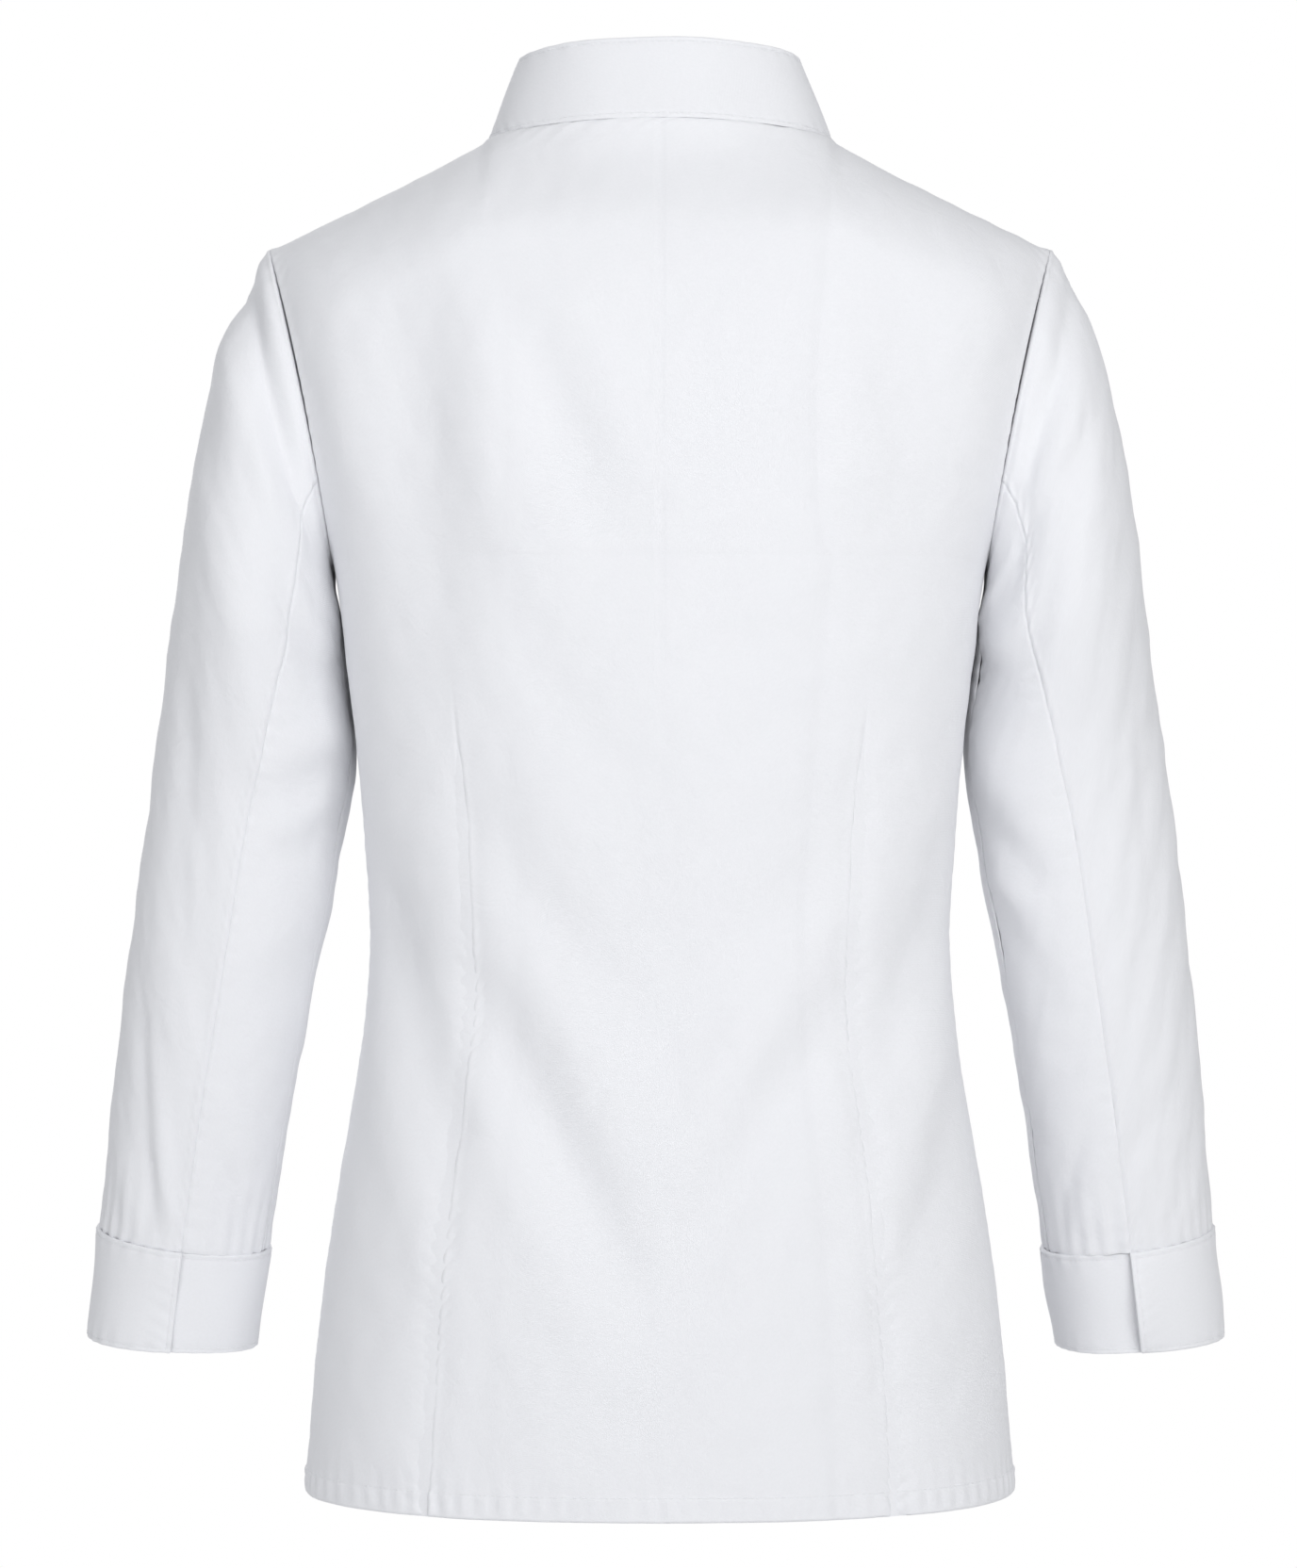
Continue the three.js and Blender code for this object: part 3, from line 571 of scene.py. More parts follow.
def seam_fill(distance, height=0.9, width=3.5):
    """Keeps the cloth full right up to the armhole seam."""
    return height * near(distance, width)


def seam_ridge(distance, height=0.3, place=2.6, width=1.5):
    """Turnings under a seam lift the cloth beside it."""
    return height * near(distance - place, width)


def groove(distance, place):
    """The dent that a row of stitches pulls into the cloth at a distance from an edge."""
    return -GROOVE_DEPTH * near(distance - place, GROOVE_WIDTH)


def rounded(distance, radius=0.7):
    """Rounds a free edge off."""
    inward = np.clip(1 - distance / radius, 0, 1)
    return -radius * (1 - np.sqrt(1 - inward**2))


def both_ends(length, half):
    """Spots of fine pitch at both ends of a length."""
    return [(place, half, FINE_PITCH) for place in (0, length)]


def spread(length, coarse, spots):
    """Shares from 0 to 1 along a length, closer near the spots: each a place, half width and pitch."""
    s = np.linspace(0, length, 6000)
    pitch = np.full_like(s, coarse)
    for place, half, fine in spots:
        pitch = np.minimum(pitch, fine + 0.28 * np.clip(np.abs(s - place) - half, 0, None))
    count = np.concatenate([[0], np.cumsum(np.diff(s) / pitch[1:])])
    steps = math.ceil(count[-1])
    return np.interp(np.linspace(0, count[-1], steps + 1), count, s) / length


def facing(points):
    """The way out of a surface at each of its points."""
    return unit(np.cross(np.gradient(points, axis=0), np.gradient(points, axis=1)))


def measured(points, axis):
    """Distance along the columns or rows of a surface."""
    steps = np.linalg.norm(np.diff(points, axis=axis), axis=-1)
    return np.concatenate([np.zeros_like(steps.take([0], axis)), np.cumsum(steps, axis)], axis)


class Cloth:
    """Outer face of a cut piece in columns and rows of points, with its measures along the cloth."""

    def __init__(self, points):
        self.base = self.face = self.inside = points
        self.ways = facing(points)
        self.left = measured(points, 0)
        self.top = measured(points, 1)
        self.right = self.left[-1:] - self.left
        self.bottom = self.top[:, -1:] - self.top

    def share_edge(self, distance, ways, weight=1, reach=8):
        """Near a seam, points move along ways that both of its panels share."""
        toward = weight * (1 - smooth(0, reach, distance))
        self.ways = unit(lerp(self.ways, ways, toward[..., None]))

    def shape(self, form, detail):
        """Lifts the whole wall by its soft form, and its outer face by the fine detail too."""
        self.inside = self.base + self.ways * form[..., None]
        self.face = self.inside + self.ways * detail[..., None]
        return self

    def mirror(self):
        for name in ("base", "face", "inside"):
            setattr(self, name, mirrored(getattr(self, name)))
        self.ways = self.ways[::-1] * (-1, 1, 1)
        self.left, self.right = self.right[::-1], self.left[::-1]
        self.top, self.bottom = self.top[::-1], self.bottom[::-1]
        return self

    def line(self, edge, distance, start=0, stop=0):
        """Route beside an edge, and the way out along it. It starts and stops short of its ends."""
        measure, face, ways = getattr(self, edge), self.face, self.ways
        if edge in ("top", "bottom"):
            measure, face, ways = measure.T, face.swapaxes(0, 1), ways.swapaxes(0, 1)
        if edge in ("right", "bottom"):
            measure, face, ways = measure[::-1], face[::-1], ways[::-1]
        k = np.clip((measure < distance).sum(axis=0) - 1, 0, len(measure) - 2)
        each = np.arange(measure.shape[1])
        low, high = measure[k, each], measure[k + 1, each]
        share = ((distance - low) / (high - low))[:, None]
        route = lerp(face[k, each], face[k + 1, each], share)
        run = np.concatenate([[0], np.cumsum(np.linalg.norm(np.diff(route, axis=0), axis=-1))])
        kept = (run >= start) & (run <= run[-1] - stop)
        return route[kept], ways[k, each][kept]

    def cut(self):
        """Width, length and area of the flat piece, in metres."""
        width = self.left.max() * MM
        length = self.top.max() * MM
        u, v = np.diff(self.base, axis=0)[:, :-1], np.diff(self.base, axis=1)[:-1]
        area = np.linalg.norm(np.cross(u, v), axis=-1).sum() * MM * MM
        return width, length, min(area, width * length)


def body_rows():
    """Shares of a body panel's length: down the armhole, then down to the hem."""
    beside = spread(ARMHOLE_SPAN, 2.5, [(0, 4, 0.7)]) * ARMHOLE_SHARE
    hem = (SIDE_SPAN, HEM_DEPTH + 2, 0.8)
    below = spread(SIDE_SPAN, 2.5, [hem]) * (1 - ARMHOLE_SHARE) + ARMHOLE_SHARE
    return np.concatenate([beside, below[1:]])


def armhole_ways(side, t, mirror):
    """The mitre along an armhole edge, and how much it holds: it fades out below the underarm."""
    turn = side * math.pi * np.minimum(t, ARMHOLE_SHARE) / ARMHOLE_SHARE
    mitre = armhole_seam(turn)[1] * (mirror, 1, 1)
    return mitre, 1 - smooth(ARMHOLE_SHARE, ARMHOLE_SHARE + 0.03, t)


def away_from_seams(share, t):
    return (1 - smooth(0.7, 0.98, np.abs(share))) * smooth(0, 0.2, t)


def hem_detail(cloth, along, seed, strength):
    """Doubled cloth below the hem's stitch line, drawn into small uneven puckers."""
    up = cloth.bottom
    below = smooth(-1, 5, up) * (1 - smooth(HEM_DEPTH - 3, HEM_DEPTH + 1, up))
    above = near(up - HEM_DEPTH - 3, 9)
    waves = puckers(along, 9.5, seed)
    thick = 0.4 * (1 - smooth(HEM_DEPTH - 0.5, HEM_DEPTH + 1.5, up))
    return thick + groove(up, HEM_DEPTH) + strength * waves * (0.6 * below + 0.3 * above) + rounded(up)


@lru_cache
def back_cloth(folds, pucker):
    sewn = [(BACK_SPAN / 2 * (1 + place), 2, 0.7) for place in (-DART_SHARE, 0, DART_SHARE)]
    shares = spread(BACK_SPAN, 2.55, both_ends(BACK_SPAN, 3) + sewn)
    share, t = np.meshgrid(2 * shares - 1, body_rows(), indexing="ij")
    cloth = Cloth(back_surface(share, t))
    for edge, mirror in (("left", -1), ("right", 1)):
        mitre, weight = armhole_ways(1, t, mirror)
        cloth.share_edge(getattr(cloth, edge), mitre, weight)
    x, z = cloth.base[..., 0], cloth.base[..., 2]
    edge = np.minimum(cloth.left, cloth.right)
    filled = weight * seam_fill(edge)
    form = folds * fold_lift(BACK_FOLDS, "x", "z", x, z) * away_from_seams(share, t)
    form = form + 0.5 * folds * ripples(x, z, 60, 3) * away_from_seams(share, t) + filled
    detail = seam_valley(edge, 0.3, 0.7) + seam_valley(cloth.top, 0.5)
    detail = detail + hem_detail(cloth, cloth.left, 11, pucker)
    detail = detail + 0.16 * ripples(x, z, 16, 4) * smooth(0, 12, edge)
    detail = detail + pucker * 0.3 * near(edge, 9) * puckers(cloth.top + edge * 0.5, 10, 21)
    under_collar = near(cloth.top, 11) * (1 - smooth(80, 110, np.abs(x)))
    detail = detail + pucker * 0.35 * under_collar * puckers(cloth.left, 12, 31)
    return cloth.shape(form, detail + centre_seam(cloth, x, z) + darts(cloth, share, z, pucker))


def centre_seam(cloth, x, z):
    """The dart down the middle from the collar, which fades out at the waist."""
    strength = smooth(BACK_DART_END_Z, BACK_DART_END_Z + 110, z)
    pressed = 0.35 * near(x - 2.8, 1.9)
    return strength * (pressed - 0.85 * near(x, 0.9) - 0.25 * near(x, 5))


def darts(cloth, share, z, pucker):
    """Two long waist darts through the hem, pressed towards the middle and puckered along their stitches."""
    strength = smooth(0, 70, DART_TOP_Z - z)
    total = 0
    for way in (-1, 1):
        column = int(np.abs(share[:, 0] - way * DART_SHARE).argmin())
        off = (cloth.left - cloth.left[column]) * way
        tuck = 0.55 * near(off + 3, 2) - 1.1 * near(off, 1.1) - 1.6 * near(off, 8)
        low = smooth(330, 430, -z)
        waves = puckers(cloth.top + 0.8 * np.abs(off), 9, 41 + way)
        total = total + tuck + pucker * waves * (0.18 + 0.3 * low) * near(np.abs(off) - 5, 6)
    return strength * total


@lru_cache
def front_cloth(over, folds, pucker):
    lap = LAP_TOP / FRONT_SPAN
    shares = spread(FRONT_SPAN, 2.9, both_ends(FRONT_SPAN, 3))
    share_line = np.where(shares < 1 - lap, shares / (1 - lap) - 1, (shares - 1 + lap) / lap)
    share, t = np.meshgrid(share_line[::-1] if over else share_line, body_rows(), indexing="ij")
    cloth = Cloth(front_surface(share, t, over))
    side_edge, free_edge = ("right", "left") if over else ("left", "right")
    aside, free = getattr(cloth, side_edge), getattr(cloth, free_edge)
    mitre, weight = armhole_ways(-1, t, -1 if over else 1)
    cloth.share_edge(aside, mitre, weight)
    x, z = cloth.base[..., 0], cloth.base[..., 2]
    quiet = away_from_seams(np.minimum(share, 0), t)
    form = folds * quiet * (fold_lift(FRONT_FOLDS, "x", "z", np.abs(x), z) + 0.6 * ripples(x, z, 70, 5))
    form = form + weight * seam_fill(aside)
    detail = seam_valley(aside, 0.3, 0.7) + seam_valley(cloth.top, 0.5)
    detail = detail + hem_detail(cloth, cloth.left, 12, pucker)
    detail = detail + 0.14 * ripples(x, z, 18, 6) * smooth(0, 12, aside)
    detail = detail + pucker * 0.3 * near(aside, 9) * puckers(cloth.top + aside * 0.5, 10, 22)
    facing_step = 0.25 * (1 - smooth(FRONT_STITCH - 0.4, FRONT_STITCH + 1, free))
    edge_waves = 0.16 * puckers(cloth.top, 14, 23) * near(free - FRONT_STITCH, 7)
    detail = detail + rounded(free) + facing_step + groove(free, FRONT_STITCH) + pucker * edge_waves
    if over:
        for place, _ in button_places():
            detail = detail + button_pull(x - place[0], z - place[2], pucker)
    return cloth.shape(form, detail)


def button_pull(x, z, pucker):
    """A dimple under a button, with faint folds running out of it sideways."""
    away = np.hypot(x, z)
    round_it = np.arctan2(z, x)
    rays = np.cos(2 * round_it + 0.6) * near(away - 15, 9)
    return pucker * (0.35 * rays - 0.45 * near(away, 9))


def sleeve_rows():
    cap = spread(CAP_SPAN, 2.6, [(0, 5, 0.7)]) * CAP_SHARE
    arm = spread(ARM_SPAN, 2.6, [(ARM_SPAN, 5, 0.8)]) * (1 - CAP_SHARE) + CAP_SHARE
    return np.concatenate([cap, arm[1:]])


@lru_cache
def sleeve_cloth(left, upper, folds, pucker):
    """One panel of a sleeve. Both sleeves are shaped as left ones, and the right one is mirrored."""
    inner = math.radians(INNER_SEAM_TURN)
    gap = math.radians(0.03)
    width = UPPER_SLEEVE_SPAN if upper else UNDER_SLEEVE_SPAN
    shares, t = np.meshgrid(spread(width, 2.6, both_ends(width, 3)), sleeve_rows(), indexing="ij")
    seam = back_seam_turn(t)
    turn = lerp(seam - gap, inner - TAU + gap, shares) if upper else lerp(inner - gap, seam + gap, shares)
    cloth = Cloth(sleeve_surface(turn, t))
    mitre = armhole_seam(turn[:, :1])[1]
    cloth.share_edge(cloth.top, np.broadcast_to(mitre, cloth.base.shape), 1)
    at_seam = cloth.left if upper else cloth.right
    at_inner = cloth.right if upper else cloth.left
    degrees = np.degrees(turn)
    arm = degrees * math.radians(ARM_RADIUS)
    seed = 50 if left else 60
    table = LEFT_SLEEVE_FOLDS if left else RIGHT_SLEEVE_FOLDS
    quiet = smooth(0, 26, cloth.top) * smooth(0, 24, cloth.bottom)
    lift = fold_lift(table, "turn", "down", degrees, cloth.top) + 0.5 * ripples(arm, cloth.top, 60, seed)
    form = folds * quiet * lift
    around_back = smooth(-20, 25, degrees) * (1 - smooth(140, 175, degrees))
    cap = (0.7 + 0.3 * ripples(arm, 0 * arm, 50, seed + 1)) * (0.45 + 0.55 * around_back)
    ridge = cap * (1.3 * near(cloth.top - 7, 4.5) - 1.4 * near(cloth.top - 19, 8))
    full = UNDERARM_FULLNESS
    wrapped = np.where(degrees < -90, degrees + 360, degrees)
    inward = near(wrapped - full["turn"], full["turns"]) * near(cloth.top - full["down"], full["length"])
    form = form + folds * ridge + full["height"] * inward * smooth(0, 14, cloth.top) + seam_fill(cloth.top)
    detail = 0.32 * near(cloth.top - 1.2, 1.1) - 0.3 * near(cloth.top, 0.5)
    detail = detail + seam_valley(cloth.bottom, 0.4) + seam_valley(at_seam) + seam_valley(at_inner, 0.5)
    detail = detail + (seam_ridge(at_seam, 0.34) if upper else 0)
    gathered = 0.75 * near(cloth.bottom, 17) + 0.25 * near(cloth.bottom - 26, 16)
    gathers = gathered * puckers(arm, 11, seed + 2)
    seam_waves = 0.4 * near(at_seam, 9) * puckers(cloth.top + 0.8 * at_seam, 10, seed + 3)
    inner_waves = 0.25 * near(at_inner, 8) * puckers(cloth.top + 0.5 * at_inner, 12, seed + 4)
    cap_waves = 0.25 * near(cloth.top, 9) * puckers(arm, 12, seed + 5)
    detail = detail + pucker * (gathers + seam_waves + inner_waves + cap_waves)
    edge = np.minimum(at_seam, at_inner)
    detail = detail + 0.16 * ripples(arm, cloth.top, 17, seed + 6) * smooth(0, 12, edge)
    cloth.shape(form, detail)
    return cloth if left else cloth.mirror()


@lru_cache
def cuff_cloth(left, folds, pucker):
    columns = spread(CUFF_SPAN, 2.2, both_ends(CUFF_SPAN, 4))
    rows = spread(CUFF_HEIGHT, 1.7, both_ends(CUFF_HEIGHT, 3))
    shares, v = np.meshgrid(columns, rows, indexing="ij")
    cloth = Cloth(cuff_surface(1 - shares, v))
    seed = 70 if left else 80
    form = folds * 0.5 * ripples(cloth.left, cloth.top, 55, seed)
    if not left:
        form = form + CUFF_OPENING * np.sin(math.pi * v) ** 0.9 * near(cloth.left, 12)
    detail = rounded(cloth.top, 0.5) + rounded(cloth.bottom) + rounded(cloth.left) + rounded(cloth.right)
    for distance in (cloth.top, cloth.bottom, cloth.left, cloth.right):
        detail = detail + groove(distance, EDGE_STITCH)
    for distance, shift in ((cloth.top, 1), (cloth.bottom, 2)):
        waves = puckers(cloth.left, 10, seed + shift)
        detail = detail + pucker * 0.36 * near(distance - EDGE_STITCH, 7) * waves
    lap_waves = puckers(cloth.top + 0.4 * cloth.left, 7.5, seed + 3)
    detail = detail + pucker * 0.42 * near(cloth.left - EDGE_STITCH - 3, 8) * lap_waves
    cloth.shape(form, detail)
    return cloth if left else cloth.mirror()


@lru_cache
def collar_cloth(folds, pucker):
    end = math.radians(COLLAR_END_TURN)
    columns = spread(COLLAR_SPAN, 2.3, both_ends(COLLAR_SPAN, 4))
    rows = spread(COLLAR_HEIGHT, 1.7, both_ends(COLLAR_HEIGHT, 3))
    shares, v = np.meshgrid(columns, rows, indexing="ij")
    turn = lerp(-end, end, shares)
    cloth = Cloth(collar_surface(turn, 1 - v))
    level = unit(point(np.sin(turn) / NECK_HALF_WIDTH, np.cos(turn) / NECK_BACK_DEPTH, 0))
    cloth.share_edge(cloth.bottom, level, 1, 10)
    form = folds * 0.5 * ripples(cloth.left, cloth.top, 60, 90)
    detail = rounded(cloth.top) + rounded(cloth.left) + rounded(cloth.right) + seam_valley(cloth.bottom, 0.5)
    for distance in (cloth.top, cloth.bottom, cloth.left, cloth.right):
        detail = detail + groove(distance, EDGE_STITCH)
    waves = 0.26 * near(cloth.bottom - EDGE_STITCH, 6) * puckers(cloth.left, 10, 91)
    waves = waves + 0.2 * near(cloth.top - EDGE_STITCH, 5) * puckers(cloth.left, 11, 92)
    return cloth.shape(form, detail + pucker * waves)


def button_places():
    """Place of each button, and the way that it faces, with its node's name."""
    for column, way in (("right", -1), ("left", 1)):
        for row in range(BUTTON_ROWS):
            z = BUTTON_TOP_Z - row * BUTTON_PITCH
            x = way * lerp(BUTTON_TOP_X, BUTTON_BOTTOM_X, row / (BUTTON_ROWS - 1))
            at = lambda px, pz: point(px, -body_depth(-1, np.array(px), np.array(pz)) - LAP_LIFT, pz)
            out = unit(np.cross(at(x + 1, z) - at(x - 1, z), at(x, z + 1) - at(x, z - 1)))
            yield (x, at(x, z)[1], z), dict(node=f"button_{column}_{row + 1}", out=out)


# The inner face of a wall has every third point of the outer one.
INNER_STEP = 3


def quads(*corners):
    return np.stack(corners, -1).reshape(-1, 4).tolist()


def shell(name, cloth, thickness):
    """Makes a closed wall from a cloth: a fine outer face, a coarser inner face and rims between them."""
    columns, rows = cloth.base.shape[:2]
    picked = [sorted({*range(0, count - 1, INNER_STEP), count - 1}) for count in (columns, rows)]
    inside = (cloth.inside - cloth.ways * thickness)[np.ix_(*picked)]
    outer = np.arange(columns * rows).reshape(columns, rows)
    inner = np.arange(inside.shape[0] * inside.shape[1]).reshape(inside.shape[:2]) + outer.size
    vertices = np.concatenate([cloth.face.reshape(-1, 3), inside.reshape(-1, 3)]) * MM
    faces = quads(outer[:-1, :-1], outer[1:, :-1], outer[1:, 1:], outer[:-1, 1:])
    faces += quads(inner[:-1, :-1], inner[:-1, 1:], inner[1:, 1:], inner[1:, :-1])
    edges = (
        (outer[:, 0], inner[:, 0], picked[0], 1),
        (outer[:, -1], inner[:, -1], picked[0], -1),
        (outer[0], inner[0], picked[1], -1),
        (outer[-1], inner[-1], picked[1], 1),
    )
    for out_edge, in_edge, stops, way in edges:
        for k, (low, high) in enumerate(zip(stops[:-1], stops[1:])):
            rim = [out_edge[low], in_edge[k], in_edge[k + 1], *out_edge[high:low:-1]]
            faces.append([int(v) for v in rim[::way]])
    mesh = bpy.data.meshes.new(name)
    mesh.from_pydata(vertices, [], faces)
    flat = np.stack([cloth.left, cloth.top], -1) * MM
    flat = np.concatenate([flat.reshape(-1, 2), flat[np.ix_(*picked)].reshape(-1, 2)])
    corners = np.empty(len(mesh.loops), int)
    mesh.loops.foreach_get("vertex_index", corners)
    mesh.uv_layers.new(name="cloth").data.foreach_set("uv", flat[corners].ravel())
    mesh.shade_smooth()
    mesh.set_sharp_from_angle(angle=math.radians(55))
    return link(name, mesh)


def link(name, mesh):
    piece = bpy.data.objects.new(name, mesh)
    bpy.context.scene.collection.objects.link(piece)
    return piece


def sew(name, cloth, thickness, material, nodes):
    """Makes a cut piece, gives it its finish and hides the solids that it stands for."""
    piece = shell(name, cloth, thickness)
    piece.data.materials.append(material)
    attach(piece, "root")
    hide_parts(*nodes)
    width, length, area = cloth.cut()
    return piece


def group_tree(name, inputs, outputs):
    """An empty shader group with its sockets, and its input and output nodes."""
    tree = bpy.data.node_groups.new(name, "ShaderNodeTree")
    for label, kind, default in inputs:
        socket = tree.interface.new_socket(label, in_out="INPUT", socket_type=kind)
        if default is not None:
            socket.default_value = default
    for label, kind in outputs:
        tree.interface.new_socket(label, in_out="OUTPUT", socket_type=kind)
    return tree, tree.nodes.new("NodeGroupInput"), tree.nodes.new("NodeGroupOutput")


def fill_in(tree, made, **inputs):
    """Links or sets a node's inputs by name, with _ for a space, or by number, as i0."""
    for key, value in inputs.items():
        socket = made.inputs[int(key[1:])] if key[1:].isdigit() else made.inputs[key.replace("_", " ")]
        if isinstance(value, bpy.types.NodeSocket):
            tree.links.new(value, socket)
        else:
            socket.default_value = value


def node(tree, kind, settings=None, **inputs):
    """Adds a node, sets its properties and fills in its inputs."""
    made = tree.nodes.new(kind)
    for key, value in (settings or {}).items():
        setattr(made, key, value)
    fill_in(tree, made, **inputs)
    return made


def maths(tree, operation, first, second=0.0):
    return node(tree, "ShaderNodeMath", dict(operation=operation), i0=first, i1=second).outputs[0]


def twill_group():
    """Fine diagonal wales of twill, with uneven yarns, on a plane in metres."""
    tree, given, result = group_tree(
        "Twill weave",
        [
            ("Cloth", "NodeSocketVector", None),
            ("Wale", "NodeSocketFloat", 0.00065),
            ("Angle", "NodeSocketFloat", 1.05),
        ],
        [("Height", "NodeSocketFloat"), ("Yarn", "NodeSocketFloat")],
    )
    turned = node(
        tree, "ShaderNodeVectorRotate", dict(rotation_type="Z_AXIS"),
        Vector=given.outputs["Cloth"], Angle=given.outputs["Angle"],
    ).outputs[0]
    waves = maths(tree, "DIVIDE", WAVE_UNIT, given.outputs["Wale"])
    wales = node(
        tree, "ShaderNodeTexWave", dict(bands_direction="X", wave_profile="SIN"),
        Vector=turned, Scale=waves, Distortion=0.6, Detail=1.0, Detail_Scale=0.4,
    ).outputs["Fac"]
    fine = maths(tree, "MULTIPLY", waves, 1.8)
    yarns = node(
        tree, "ShaderNodeTexWave", dict(bands_direction="Y", wave_profile="SIN"),
        Vector=turned, Scale=fine, Distortion=1.2, Detail=1.0, Detail_Scale=0.5,
    ).outputs["Fac"]
    uneven = noise(tree, given.outputs["Cloth"], 700.0)
    woven = maths(tree, "ADD", maths(tree, "MULTIPLY", wales, 0.7), maths(tree, "MULTIPLY", yarns, 0.3))
    tree.links.new(maths(tree, "ADD", woven, maths(tree, "MULTIPLY", uneven, 0.35)), result.inputs["Height"])
    tree.links.new(uneven, result.inputs["Yarn"])
    return tree


def crush_group():
    """Faint small wrinkles left by washing and wear."""
    tree, given, result = group_tree(
        "Crush",
        [("Place", "NodeSocketVector", None), ("Scale", "NodeSocketFloat", 60.0)],
        [("Height", "NodeSocketFloat"), ("Patches", "NodeSocketFloat")],
    )
    creases = node(
        tree, "ShaderNodeTexNoise", None,
        Vector=given.outputs["Place"], Scale=given.outputs["Scale"],
        Detail=4.0, Roughness=0.55, Distortion=0.6,
    ).outputs[0]
    patches = noise(tree, given.outputs["Place"], 9.0)
    tree.links.new(creases, result.inputs["Height"])
    tree.links.new(patches, result.inputs["Patches"])
    return tree


# Spacing of a wave texture's bands at scale 1
WAVE_UNIT = TAU / 20


def group_node(tree, name, build, **inputs):
    group = bpy.data.node_groups.get(name) or build()
    return node(tree, "ShaderNodeGroup", dict(node_tree=group), **inputs)


def blank_material(name):
    """A new material, with its tree and its shader."""
    material = bpy.data.materials.new(name)
    material.use_nodes = True
    return material, material.node_tree, material.node_tree.nodes["Principled BSDF"]


def noise(tree, place, scale, detail=2.0):
    return node(tree, "ShaderNodeTexNoise", None, Vector=place, Scale=scale, Detail=detail).outputs[0]


def shaded(tree, share, colour, darker):
    """A colour that goes to a darker one where the share is low."""
    low = (*[c * darker for c in colour], 1)
    return node(tree, "ShaderNodeMix", dict(data_type="RGBA"), i0=share, A=low, B=(*colour, 1)).outputs[2]


def twill_material(name, colour, wale, angle, crush, stiffness):
    """White twill: diagonal weave, faint wrinkles, patches a shade apart and a soft sheen."""
    material = bpy.data.materials.get(name)
    if material:
        return material
    material, tree, shader = blank_material(name)
    flat = node(tree, "ShaderNodeUVMap", dict(uv_map="cloth")).outputs[0]
    place = node(tree, "ShaderNodeTexCoord").outputs["Object"]
    weave = group_node(tree, "Twill weave", twill_group, Cloth=flat, Wale=wale, Angle=angle)
    worn = group_node(tree, "Crush", crush_group, Place=place, Scale=crush)
    shade = shaded(tree, worn.outputs["Patches"], colour, 0.975)
    yarn = node(
        tree, "ShaderNodeMix", dict(data_type="RGBA", blend_type="MULTIPLY"),
        i0=0.05, A=shade, B=weave.outputs["Yarn"],
    ).outputs[2]
    rough = node(
        tree, "ShaderNodeMapRange", None,
        Value=worn.outputs["Patches"], To_Min=0.86, To_Max=0.76 + 0.05 * stiffness,
    ).outputs[0]
    soft = node(
        tree, "ShaderNodeBump", None, Strength=0.5, Distance=0.0012 * (1 - 0.5 * stiffness),
        Height=worn.outputs["Height"],
    ).outputs[0]
    fine = node(
        tree, "ShaderNodeBump", None, Strength=0.35, Distance=0.00012,
        Height=weave.outputs["Height"], Normal=soft,
    ).outputs[0]
    fill_in(tree, shader, Base_Color=yarn, Roughness=rough, Normal=fine)
    fill_in(tree, shader, Sheen_Weight=0.12, Sheen_Roughness=0.5, Specular_IOR_Level=0.25)
    return material


def thread_material(colour):
    """Twisted white thread, made once for the topstitching and the buttons."""
    made = bpy.data.materials.get("white sewing thread")
    if made:
        return made
    material, tree, shader = blank_material("white sewing thread")
    place = node(tree, "ShaderNodeTexCoord").outputs["Object"]
    twist = node(
        tree, "ShaderNodeTexWave", dict(bands_direction="DIAGONAL"), Vector=place, Scale=900.0, Distortion=1.0
    ).outputs["Fac"]
    shade = shaded(tree, twist, colour, 0.93)
    bump = node(tree, "ShaderNodeBump", None, Strength=0.3, Distance=0.0001, Height=twist).outputs[0]
    fill_in(tree, shader, Base_Color=shade, Normal=bump, Roughness=0.6, Sheen_Weight=0.1)
    return material


def button_material(colour):
    """Moulded white plastic with a faint cloudy depth and fine handling marks."""
    material, tree, shader = blank_material("white button plastic")
    place = node(tree, "ShaderNodeTexCoord").outputs["Object"]
    shade = shaded(tree, noise(tree, place, 180.0, 3.0), colour, 0.94)
    marks = noise(tree, place, 1400.0)
    rough = node(tree, "ShaderNodeMapRange", None, Value=marks, To_Min=0.22, To_Max=0.42).outputs[0]
    bump = node(tree, "ShaderNodeBump", None, Strength=0.1, Distance=0.00005, Height=marks).outputs[0]
    fill_in(tree, shader, Base_Color=shade, Roughness=rough, Normal=bump)
    fill_in(tree, shader, Coat_Weight=0.3, Coat_Roughness=0.15)
    return material


